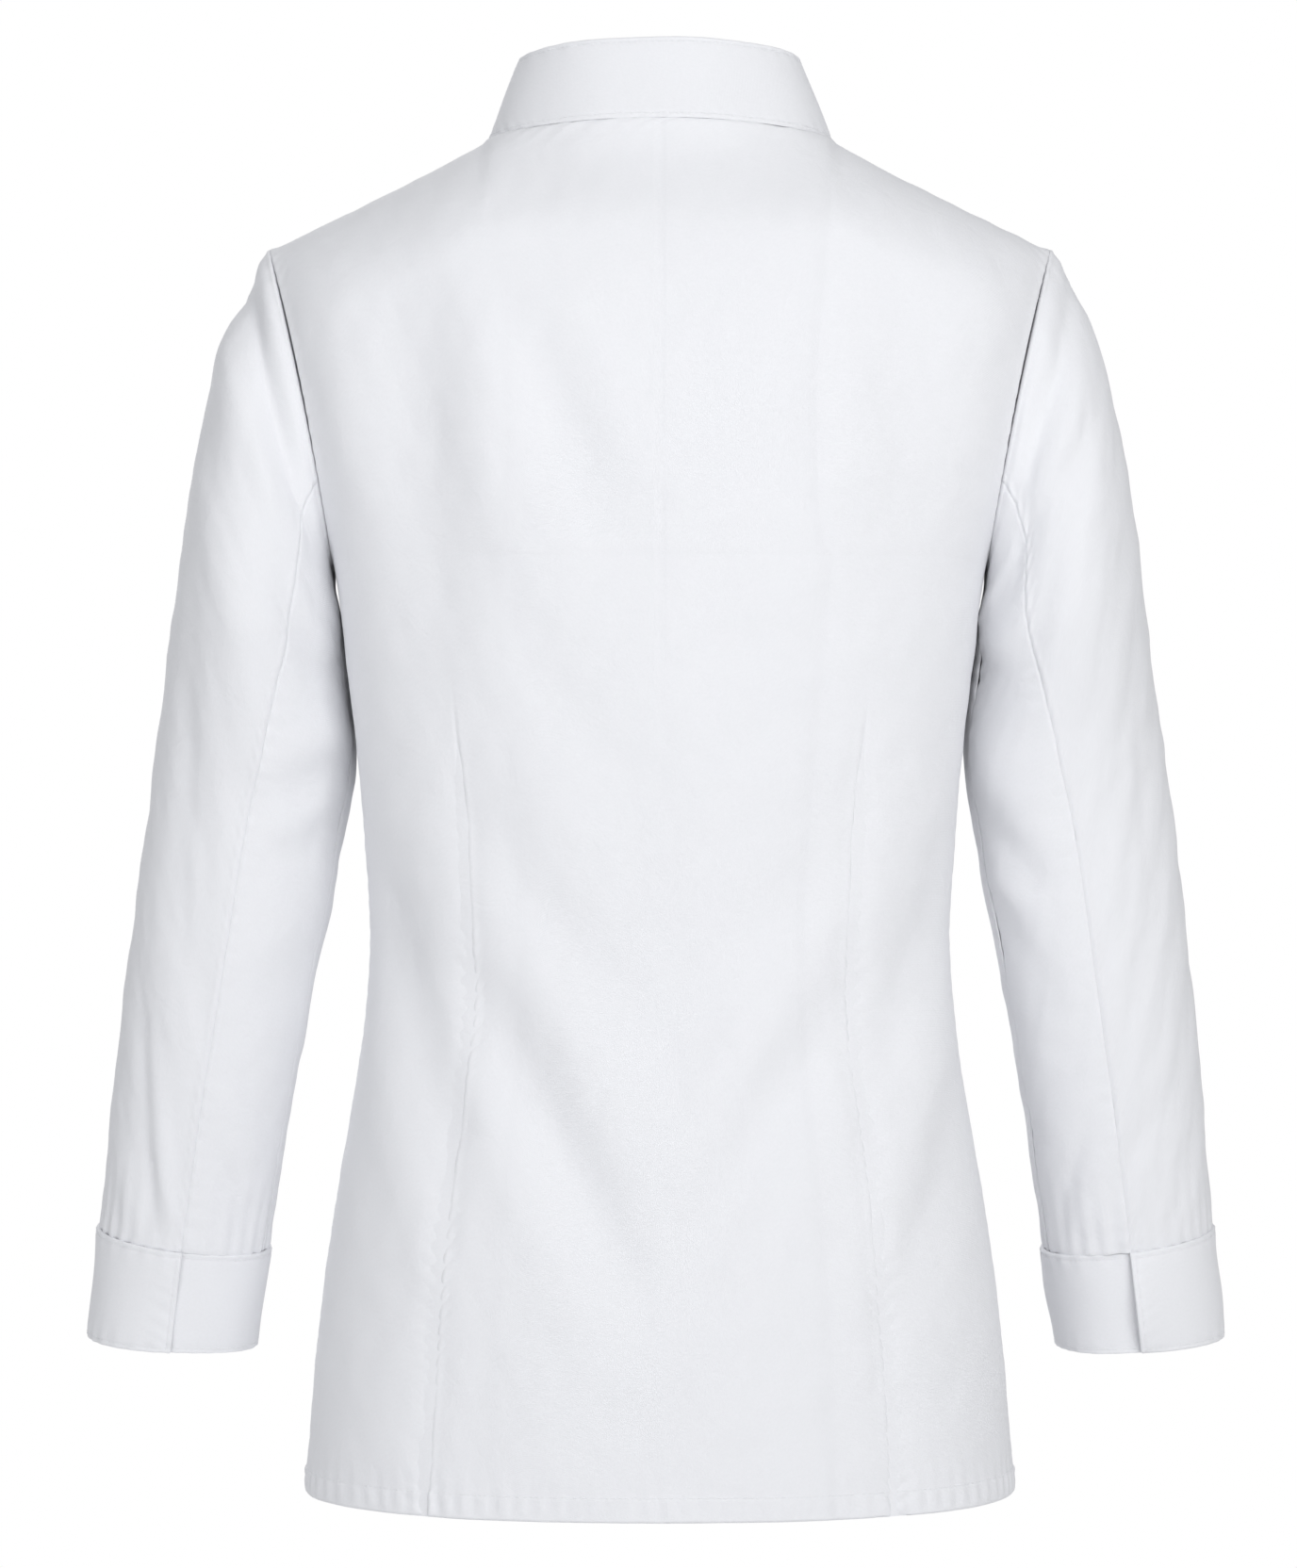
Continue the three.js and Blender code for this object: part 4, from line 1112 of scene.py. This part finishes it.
def stitch_tree():
    """Lays a small thread body at each pitch along the routes, pointing the way stored on them."""
    tree = bpy.data.node_groups.new("Stitches", "GeometryNodeTree")
    sockets = [
        ("Routes", "NodeSocketGeometry"), ("Pitch", "NodeSocketFloat"), ("Length", "NodeSocketFloat"),
        ("Thread", "NodeSocketFloat"), ("Unevenness", "NodeSocketFloat"), ("Material", "NodeSocketMaterial"),
    ]
    for label, kind in sockets:
        tree.interface.new_socket(label, in_out="INPUT", socket_type=kind)
    tree.interface.new_socket("Stitches", in_out="OUTPUT", socket_type="NodeSocketGeometry")
    given = tree.nodes.new("NodeGroupInput").outputs
    result = tree.nodes.new("NodeGroupOutput")
    curve = node(tree, "GeometryNodeMeshToCurve", None, Mesh=given["Routes"]).outputs[0]
    spaced = node(
        tree, "GeometryNodeResampleCurve", dict(mode="LENGTH"), Curve=curve, Length=given["Pitch"]
    ).outputs[0]
    body = node(tree, "GeometryNodeMeshUVSphere", None, Segments=6, Rings=5, Radius=0.5).outputs["Mesh"]
    round_body = node(tree, "GeometryNodeSetShadeSmooth", None, Geometry=body).outputs[0]
    way = node(tree, "GeometryNodeInputNamedAttribute", dict(data_type="FLOAT_VECTOR"), Name="way").outputs[0]
    turn = node(tree, "FunctionNodeAlignRotationToVector", dict(axis="Z"), Vector=way).outputs[0]
    low = node(tree, "ShaderNodeMath", dict(operation="SUBTRACT"), i0=1.0, i1=given["Unevenness"]).outputs[0]
    random = node(tree, "FunctionNodeRandomValue", dict(data_type="FLOAT"), Seed=7)
    tree.links.new(low, random.inputs[2])
    random.inputs[3].default_value = 1.0
    length = node(
        tree, "ShaderNodeMath", dict(operation="MULTIPLY"), i0=given["Length"], i1=random.outputs[1]
    ).outputs[0]
    size = node(tree, "ShaderNodeCombineXYZ", None, X=given["Thread"], Y=given["Thread"], Z=length).outputs[0]
    laid = node(
        tree, "GeometryNodeInstanceOnPoints", None,
        Points=spaced, Instance=round_body, Rotation=turn, Scale=size,
    ).outputs[0]
    real = node(tree, "GeometryNodeRealizeInstances", None, Geometry=laid).outputs[0]
    done = node(tree, "GeometryNodeSetMaterial", None, Geometry=real, Material=given["Material"]).outputs[0]
    tree.links.new(done, result.inputs[0])
    return tree


def routes_mesh(name, routes):
    """Open lines in one mesh, each point with the way its thread runs."""
    vertices, edges, ways = [], [], []
    for route, way in routes:
        start = len(vertices)
        vertices.extend(route * MM)
        ways.extend(way)
        edges.extend((k, k + 1) for k in range(start, len(vertices) - 1))
    mesh = bpy.data.meshes.new(name)
    mesh.from_pydata(vertices, edges, [])
    mesh.attributes.new("way", "FLOAT_VECTOR", "POINT").data.foreach_set("vector", np.array(ways).ravel())
    return mesh


def stitch(name, routes, pitch, length, thread, unevenness, material):
    """Sews along routes and returns the stitches as a plain mesh object."""
    source = link(name + "_routes", routes_mesh(name + "_routes", routes))
    modifier = source.modifiers.new("Stitches", "NODES")
    modifier.node_group = bpy.data.node_groups.get("Stitches") or stitch_tree()
    values = dict(Pitch=pitch, Length=length, Thread=thread, Unevenness=unevenness, Material=material)
    for item in modifier.node_group.interface.items_tree:
        if item.in_out == "INPUT" and item.name in values:
            modifier[item.identifier] = values[item.name]
    bpy.context.view_layer.update()
    evaluated = source.evaluated_get(bpy.context.evaluated_depsgraph_get())
    mesh = bpy.data.meshes.new_from_object(evaluated)
    mesh.name = name
    source.modifiers.remove(modifier)
    bpy.data.objects.remove(source)
    if not mesh.polygons:
        raise RuntimeError(f"{name} has no stitches")
    piece = link(name, mesh)
    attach(piece, "root")
    return piece


# How far the stitches lie above the cloth, and how much shorter some are
STITCH_LIFT = 0.12
STITCH_UNEVENNESS = 0.16


def along(route, ways):
    """A row of stitches just above the cloth, each stitch running along the row."""
    return route + ways * STITCH_LIFT, unit(np.gradient(route, axis=0))


def sizes():
    return bpy.context.scene.jacket_sizes


def colours():
    return bpy.context.scene.jacket_colours


def cloth_material(name):
    finishes = {
        "body twill": dict(wale=0.00068, angle=1.05, crush=60, stiffness=0),
        "sleeve twill": dict(wale=0.00068, angle=0.95, crush=64, stiffness=0),
        "collar twill": dict(wale=0.00066, angle=0.6, crush=48, stiffness=1),
        "cuff twill": dict(wale=0.00066, angle=0.6, crush=50, stiffness=0.8),
    }
    return twill_material(name, tuple(colours().cloth), **finishes[name])


def shaping():
    return sizes().folds, sizes().puckers


class JacketSizes(bpy.types.PropertyGroup):
    """Sizes of the sewing that a user may change."""

    wall: bpy.props.FloatProperty(
        name="Cloth", description="Thickness of the panels' cloth", default=0.0012, unit="LENGTH"
    )
    band_wall: bpy.props.FloatProperty(
        name="Collar and cuffs", description="Thickness of the collar and cuffs",
        default=0.0018, unit="LENGTH",
    )
    folds: bpy.props.FloatProperty(
        name="Folds", description="Strength of the soft folds", default=1.0, subtype="FACTOR"
    )
    puckers: bpy.props.FloatProperty(
        name="Puckers", description="Strength of the puckers along the seams", default=1.0, subtype="FACTOR"
    )
    stitch_pitch: bpy.props.FloatProperty(
        name="Stitch pitch", description="Distance from stitch to stitch", default=0.0032, unit="LENGTH"
    )
    stitch_length: bpy.props.FloatProperty(
        name="Stitch length", description="Length of thread in a stitch", default=0.0027, unit="LENGTH"
    )
    thread: bpy.props.FloatProperty(
        name="Thread", description="Thickness of the sewing thread", default=0.00042, unit="LENGTH"
    )


class JacketColours(bpy.types.PropertyGroup):
    """Colours that a user may change."""

    cloth: bpy.props.FloatVectorProperty(
        name="Cloth", description="Colour of the twill", default=(0.88, 0.885, 0.91), subtype="COLOR", size=3
    )
    thread: bpy.props.FloatVectorProperty(
        name="Thread", description="Colour of the thread",
        default=(0.88, 0.885, 0.905), subtype="COLOR", size=3,
    )
    button: bpy.props.FloatVectorProperty(
        name="Buttons", description="Colour of the buttons",
        default=(0.87, 0.87, 0.85), subtype="COLOR", size=3,
    )
    floor: bpy.props.FloatVectorProperty(
        name="Floor", description="Colour of the floor", default=(0.9, 0.9, 0.9), subtype="COLOR", size=3
    )


class JacketStudio(bpy.types.PropertyGroup):
    """Camera and lights."""

    camera_distance: bpy.props.FloatProperty(
        name="Distance", description="Distance of the camera behind the jacket", default=2.3, unit="LENGTH"
    )
    camera_height: bpy.props.FloatProperty(
        name="Height", description="Height of the camera from the shoulders", default=-0.33, unit="LENGTH"
    )
    camera_aside: bpy.props.FloatProperty(
        name="Aside", description="How far the camera stands to the wearer's left",
        default=0.0058, unit="LENGTH",
    )
    view_height: bpy.props.FloatProperty(
        name="View", description="Height that the camera takes in at the jacket", default=0.807, unit="LENGTH"
    )
    key: bpy.props.FloatProperty(
        name="Key", description="Power of the main light", default=26.0, unit="POWER"
    )
    fill: bpy.props.FloatProperty(
        name="Fill", description="Power of the light beside it", default=9.0, unit="POWER"
    )
    front: bpy.props.FloatProperty(
        name="Front", description="Power of the light on the front", default=25.0, unit="POWER"
    )
    top: bpy.props.FloatProperty(
        name="Top", description="Power of the light overhead", default=2.6, unit="POWER"
    )
    ambient: bpy.props.FloatProperty(name="Ambient", description="Light from all round", default=0.42, min=0)
    floor_gap: bpy.props.FloatProperty(
        name="Floor", description="Height of the hem above the floor", default=0.12, unit="LENGTH"
    )


class JACKET_OT_back(bpy.types.Operator):
    """Make the back with its centre dart and two long waist darts"""

    bl_idname = "jacket.back"
    bl_label = "Back"

    def execute(self, context):
        cloth = back_cloth(*shaping())
        material = cloth_material("body twill")
        sew("jacket_back", cloth, sizes().wall / MM, material, ["back"])
        return {"FINISHED"}


class JACKET_OT_fronts(bpy.types.Operator):
    """Make the right front and the left one below it"""

    bl_idname = "jacket.fronts"
    bl_label = "Fronts"

    def execute(self, context):
        for side, over in (("right", True), ("left", False)):
            cloth = front_cloth(over, *shaping())
            material = cloth_material("body twill")
            name = f"front_{side}"
            sew(f"jacket_{name}", cloth, sizes().wall / MM, material, [name])
        return {"FINISHED"}


class JACKET_OT_sleeves(bpy.types.Operator):
    """Make both two-piece sleeves"""

    bl_idname = "jacket.sleeves"
    bl_label = "Sleeves"

    def execute(self, context):
        for side in ("left", "right"):
            for panel in ("upper", "under"):
                cloth = sleeve_cloth(side == "left", panel == "upper", *shaping())
                name = f"sleeve_{side}_{panel}"
                material = cloth_material("sleeve twill")
                sew(f"jacket_{name}", cloth, sizes().wall / MM, material, [name])
        return {"FINISHED"}


class JACKET_OT_cuffs(bpy.types.Operator):
    """Make both split cuffs"""

    bl_idname = "jacket.cuffs"
    bl_label = "Cuffs"

    def execute(self, context):
        for side in ("left", "right"):
            cloth = cuff_cloth(side == "left", *shaping())
            material = cloth_material("cuff twill")
            name = f"cuff_{side}"
            sew(f"jacket_{name}", cloth, sizes().band_wall / MM, material, [name])
        return {"FINISHED"}


class JACKET_OT_collar(bpy.types.Operator):
    """Make the stand collar"""

    bl_idname = "jacket.collar"
    bl_label = "Collar"

    def execute(self, context):
        cloth = collar_cloth(*shaping())
        material = cloth_material("collar twill")
        sew("jacket_collar", cloth, sizes().band_wall / MM, material, ["collar"])
        return {"FINISHED"}


def topstitch_routes():
    """Every row of topstitching: hems, front edges, cuffs and collar."""
    shape = shaping()
    back, over, under = back_cloth(*shape), front_cloth(True, *shape), front_cloth(False, *shape)
    yield along(*back.line("bottom", HEM_DEPTH))
    for cloth, free in ((over, "left"), (under, "right")):
        yield along(*cloth.line("bottom", HEM_DEPTH))
        yield along(*cloth.line(free, FRONT_STITCH, 2, HEM_DEPTH))
    for band in (collar_cloth(*shape), cuff_cloth(True, *shape), cuff_cloth(False, *shape)):
        for edge in ("top", "bottom", "left", "right"):
            yield along(*band.line(edge, EDGE_STITCH, EDGE_STITCH, EDGE_STITCH))


class JACKET_OT_stitches(bpy.types.Operator):
    """Sew the topstitching of the hem, front edges, collar and cuffs"""

    bl_idname = "jacket.stitches"
    bl_label = "Topstitching"

    def execute(self, context):
        size = sizes()
        thread = thread_material(tuple(colours().thread))
        routes = list(topstitch_routes())
        lengths = (size.stitch_pitch, size.stitch_length, size.thread)
        stitch("jacket_topstitching", routes, *lengths, STITCH_UNEVENNESS, thread)
        return {"FINISHED"}


BUTTON_PROFILE = [
    (0.0, 0.2), (6.6, 0.2), (8.1, 0.7), (8.8, 1.3), (9.0, 2.0), (8.7, 2.7), (8.0, 3.15), (7.2, 3.2),
    (6.5, 2.85), (6.0, 2.35), (5.2, 2.1), (3.0, 1.95), (0.0, 1.9),
]
BUTTON_HOLE_RADIUS = 0.95
BUTTON_HOLE_PLACE = 1.9
STRANDS_APART = 0.38
STRAND_RADIUS = 0.24


def turned_mesh(name, profile, sides):
    """A solid of revolution about Z from its profile, which starts and ends on the axis."""
    shape = bmesh.new()
    low = shape.verts.new((0, 0, profile[0][1]))
    high = shape.verts.new((0, 0, profile[-1][1]))
    rings = []
    for radius, height in profile[1:-1]:
        turns = [TAU * k / sides for k in range(sides)]
        rings.append([shape.verts.new((radius * math.cos(a), radius * math.sin(a), height)) for a in turns])
    for k in range(sides):
        j = (k + 1) % sides
        shape.faces.new((low, rings[0][j], rings[0][k]))
        shape.faces.new((high, rings[-1][k], rings[-1][j]))
        for inner, outer in zip(rings[:-1], rings[1:]):
            shape.faces.new((inner[k], inner[j], outer[j], outer[k]))
    mesh = bpy.data.meshes.new(name)
    shape.to_mesh(mesh)
    shape.free()
    return mesh


def button_mesh():
    """A sew-on button with a raised rim, a dished middle and four holes."""
    body = link("button_body", turned_mesh("button_body", BUTTON_PROFILE, 48))
    drill = bmesh.new()
    for x, y in ((1, 1), (1, -1), (-1, 1), (-1, -1)):
        place = Matrix.Translation((x * BUTTON_HOLE_PLACE, y * BUTTON_HOLE_PLACE, 1))
        bmesh.ops.create_cone(
            drill, cap_ends=True, segments=14, radius1=BUTTON_HOLE_RADIUS, radius2=BUTTON_HOLE_RADIUS,
            depth=6, matrix=place,
        )
    cutter_mesh = bpy.data.meshes.new("button_drill")
    drill.to_mesh(cutter_mesh)
    drill.free()
    cutter = link("button_drill", cutter_mesh)
    cut = body.modifiers.new("Holes", "BOOLEAN")
    cut.operation, cut.solver, cut.object = "DIFFERENCE", "EXACT", cutter
    bpy.context.view_layer.update()
    mesh = bpy.data.meshes.new_from_object(body.evaluated_get(bpy.context.evaluated_depsgraph_get()))
    for used in (body, cutter):
        bpy.data.objects.remove(used)
    mesh.shade_smooth()
    mesh.set_sharp_from_angle(angle=math.radians(40))
    return mesh


def button_frame(place, out):
    """Matrix that lays a piece made flat, in millimetres, on the front at a place, facing out."""
    up = Vector((0, 0, 1))
    z = Vector(out)
    x = up.cross(z).normalized()
    turned = Matrix((x, z.cross(x), z)).transposed().to_4x4()
    return Matrix.Translation(Vector(place) * MM) @ turned @ Matrix.Scale(MM, 4)


def button_threads(shape):
    """Two bars of three strands each, out of one hole and into the next."""
    reach = BUTTON_HOLE_PLACE
    for bar in (-1, 1):
        for strand in (-STRANDS_APART, 0, STRANDS_APART):
            route = []
            for k in range(9):
                s = k / 8 * 2 - 1
                x = bar * reach + strand * (1 - 0.35 * s * s)
                route.append(Vector((x, s * reach, 1.0 + 1.5 * math.sqrt(max(0, 1 - s**4)))))
            tube(shape, route, STRAND_RADIUS, 6)


def tube(shape, route, radius, sides):
    """Adds a closed tube along a route to a bmesh."""
    rings = []
    for k, place in enumerate(route):
        way = (route[min(k + 1, len(route) - 1)] - route[max(k - 1, 0)]).normalized()
        aside = way.cross(Vector((1, 0, 0))).normalized()
        other = way.cross(aside)
        turns = [TAU * j / sides for j in range(sides)]
        arms = [aside * math.cos(a) + other * math.sin(a) for a in turns]
        rings.append([shape.verts.new(place + arm * radius) for arm in arms])
    for low, high in zip(rings[:-1], rings[1:]):
        for j in range(sides):
            shape.faces.new((low[j], low[(j + 1) % sides], high[(j + 1) % sides], high[j]))
    shape.faces.new(rings[0][::-1])
    shape.faces.new(rings[-1])


class JACKET_OT_buttons(bpy.types.Operator):
    """Make ten four-hole buttons and their threads"""

    bl_idname = "jacket.buttons"
    bl_label = "Buttons"

    def execute(self, context):
        plastic = button_material(tuple(colours().button))
        thread = thread_material(tuple(colours().thread))
        one = button_mesh()
        one.materials.append(plastic)
        threads = bmesh.new()
        for place, button in button_places():
            frame_matrix = button_frame(place, button["out"])
            mesh = one.copy()
            mesh.transform(frame_matrix)
            piece = link("jacket_" + button["node"], mesh)
            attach(piece, "root")
            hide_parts(button["node"])
            sewn = bmesh.new()
            button_threads(sewn)
            sewn.transform(frame_matrix)
            loose = bpy.data.meshes.new("loose")
            sewn.to_mesh(loose)
            sewn.free()
            threads.from_mesh(loose)
            bpy.data.meshes.remove(loose)
        mesh = bpy.data.meshes.new("jacket_button_threads")
        bmesh.ops.recalc_face_normals(threads, faces=threads.faces)
        threads.to_mesh(mesh)
        threads.free()
        mesh.shade_smooth()
        mesh.materials.append(thread)
        piece = link("jacket_button_threads", mesh)
        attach(piece, "root")
        return {"FINISHED"}


def area_light(name, place, target, width, height, power, colour):
    light = bpy.data.lights.new(name, "AREA")
    light.shape, light.size, light.size_y = "RECTANGLE", width, height
    light.energy, light.color = power, colour
    lamp = link(name, light)
    lamp.location = place
    lamp.rotation_euler = (Vector(target) - Vector(place)).to_track_quat("-Z", "Y").to_euler()
    return lamp


def soft_sky(ambient):
    """A white surround for the camera, and an even, slightly cool light for everything else."""
    world = bpy.data.worlds.new("studio")
    bpy.context.scene.world = world
    world.use_nodes = True
    tree = world.node_tree
    tree.nodes.clear()
    seen = node(tree, "ShaderNodeBackground", None, Color=(1, 1, 1, 1), Strength=1.0).outputs[0]
    light = node(tree, "ShaderNodeBackground", None, Color=(0.97, 0.98, 1, 1), Strength=ambient).outputs[0]
    by_camera = node(tree, "ShaderNodeLightPath").outputs["Is Camera Ray"]
    mixed = node(tree, "ShaderNodeMixShader", None, i0=by_camera, i1=light, i2=seen).outputs[0]
    output = tree.nodes.new("ShaderNodeOutputWorld")
    tree.links.new(mixed, output.inputs[0])


FLOOR_SIZE = 4.4


def pale_floor(colour, height):
    """A faintly mottled floor, which the camera sees as plain white."""
    mesh = bpy.data.meshes.new("floor")
    half = FLOOR_SIZE / 2
    corners = [(x * half, y * half, height) for x, y in ((-1, -1), (1, -1), (1, 1), (-1, 1))]
    mesh.from_pydata(corners, [], [(0, 1, 2, 3)])
    material, tree, shader = blank_material("pale floor")
    place = node(tree, "ShaderNodeTexCoord").outputs["Object"]
    shade = shaded(tree, noise(tree, place, 3.0), colour, 0.98)
    fill_in(tree, shader, Base_Color=shade, Roughness=0.9)
    glow = node(tree, "ShaderNodeEmission", None, Color=(1, 1, 1, 1), Strength=1.0).outputs[0]
    by_camera = node(tree, "ShaderNodeLightPath").outputs["Is Camera Ray"]
    mixed = node(tree, "ShaderNodeMixShader", None, i0=by_camera, i1=shader.outputs[0], i2=glow).outputs[0]
    tree.links.new(mixed, tree.nodes["Material Output"].inputs[0])
    mesh.materials.append(material)
    link("floor", mesh)


class JACKET_OT_studio(bpy.types.Operator):
    """Set up the floor, lights and camera"""

    bl_idname = "jacket.studio"
    bl_label = "Studio"

    def execute(self, context):
        studio = context.scene.jacket_studio
        middle = (0, 0, studio.camera_height)
        context.scene.view_settings.view_transform = "Standard"
        soft_sky(studio.ambient)
        pale_floor(tuple(colours().floor), CAD_BOX[0][2] - studio.floor_gap)
        area_light("key", (-0.9, 2.2, 0.5), middle, 1.3, 1.3, studio.key, (1, 1, 1))
        area_light("fill", (1.4, 2.0, 0.1), middle, 1.2, 1.6, studio.fill, (0.97, 0.98, 1))
        area_light("front", (0.7, -2.3, 0.5), middle, 1.3, 1.3, studio.front, (1, 1, 1))
        area_light("top", (-0.2, 0.7, 1.5), (0, 0, 0), 1.2, 1.2, studio.top, (1, 1, 1))
        lens = bpy.data.cameras.new("camera")
        lens.sensor_width = 36
        lens.lens = lens.sensor_width * studio.camera_distance / studio.view_height
        camera = link("camera", lens)
        camera.location = (studio.camera_aside, studio.camera_distance, studio.camera_height)
        camera.rotation_euler = (math.pi / 2, 0, math.pi)
        context.scene.camera = camera
        return {"FINISHED"}


OPERATORS = (
    JACKET_OT_studio,
    JACKET_OT_back,
    JACKET_OT_fronts,
    JACKET_OT_sleeves,
    JACKET_OT_cuffs,
    JACKET_OT_collar,
    JACKET_OT_stitches,
    JACKET_OT_buttons,
)


class JACKET_PT_pieces(bpy.types.Panel):
    """Lists the pieces of the jacket"""

    bl_idname = "JACKET_PT_pieces"
    bl_label = "Chef Jacket"
    bl_space_type = "VIEW_3D"
    bl_region_type = "UI"
    bl_category = "Jacket"

    def draw(self, context):
        for operator in OPERATORS:
            self.layout.operator(operator.bl_idname)
        for group in GROUPS:
            settings = getattr(context.scene, group)
            box = self.layout.box()
            for name in settings.__annotations__:
                box.prop(settings, name)


GROUPS = dict(jacket_sizes=JacketSizes, jacket_colours=JacketColours, jacket_studio=JacketStudio)


def register():
    for kind in (*GROUPS.values(), *OPERATORS, JACKET_PT_pieces):
        bpy.utils.register_class(kind)
    for name, kind in GROUPS.items():
        setattr(bpy.types.Scene, name, bpy.props.PointerProperty(type=kind))


def unregister():
    for name in GROUPS:
        delattr(bpy.types.Scene, name)
    for kind in reversed((*GROUPS.values(), *OPERATORS, JACKET_PT_pieces)):
        bpy.utils.unregister_class(kind)


def main():
    register()
    for operator in OPERATORS:
        category, name = operator.bl_idname.split(".")
        getattr(getattr(bpy.ops, category), name)()


if __name__ == "__main__":
    main()
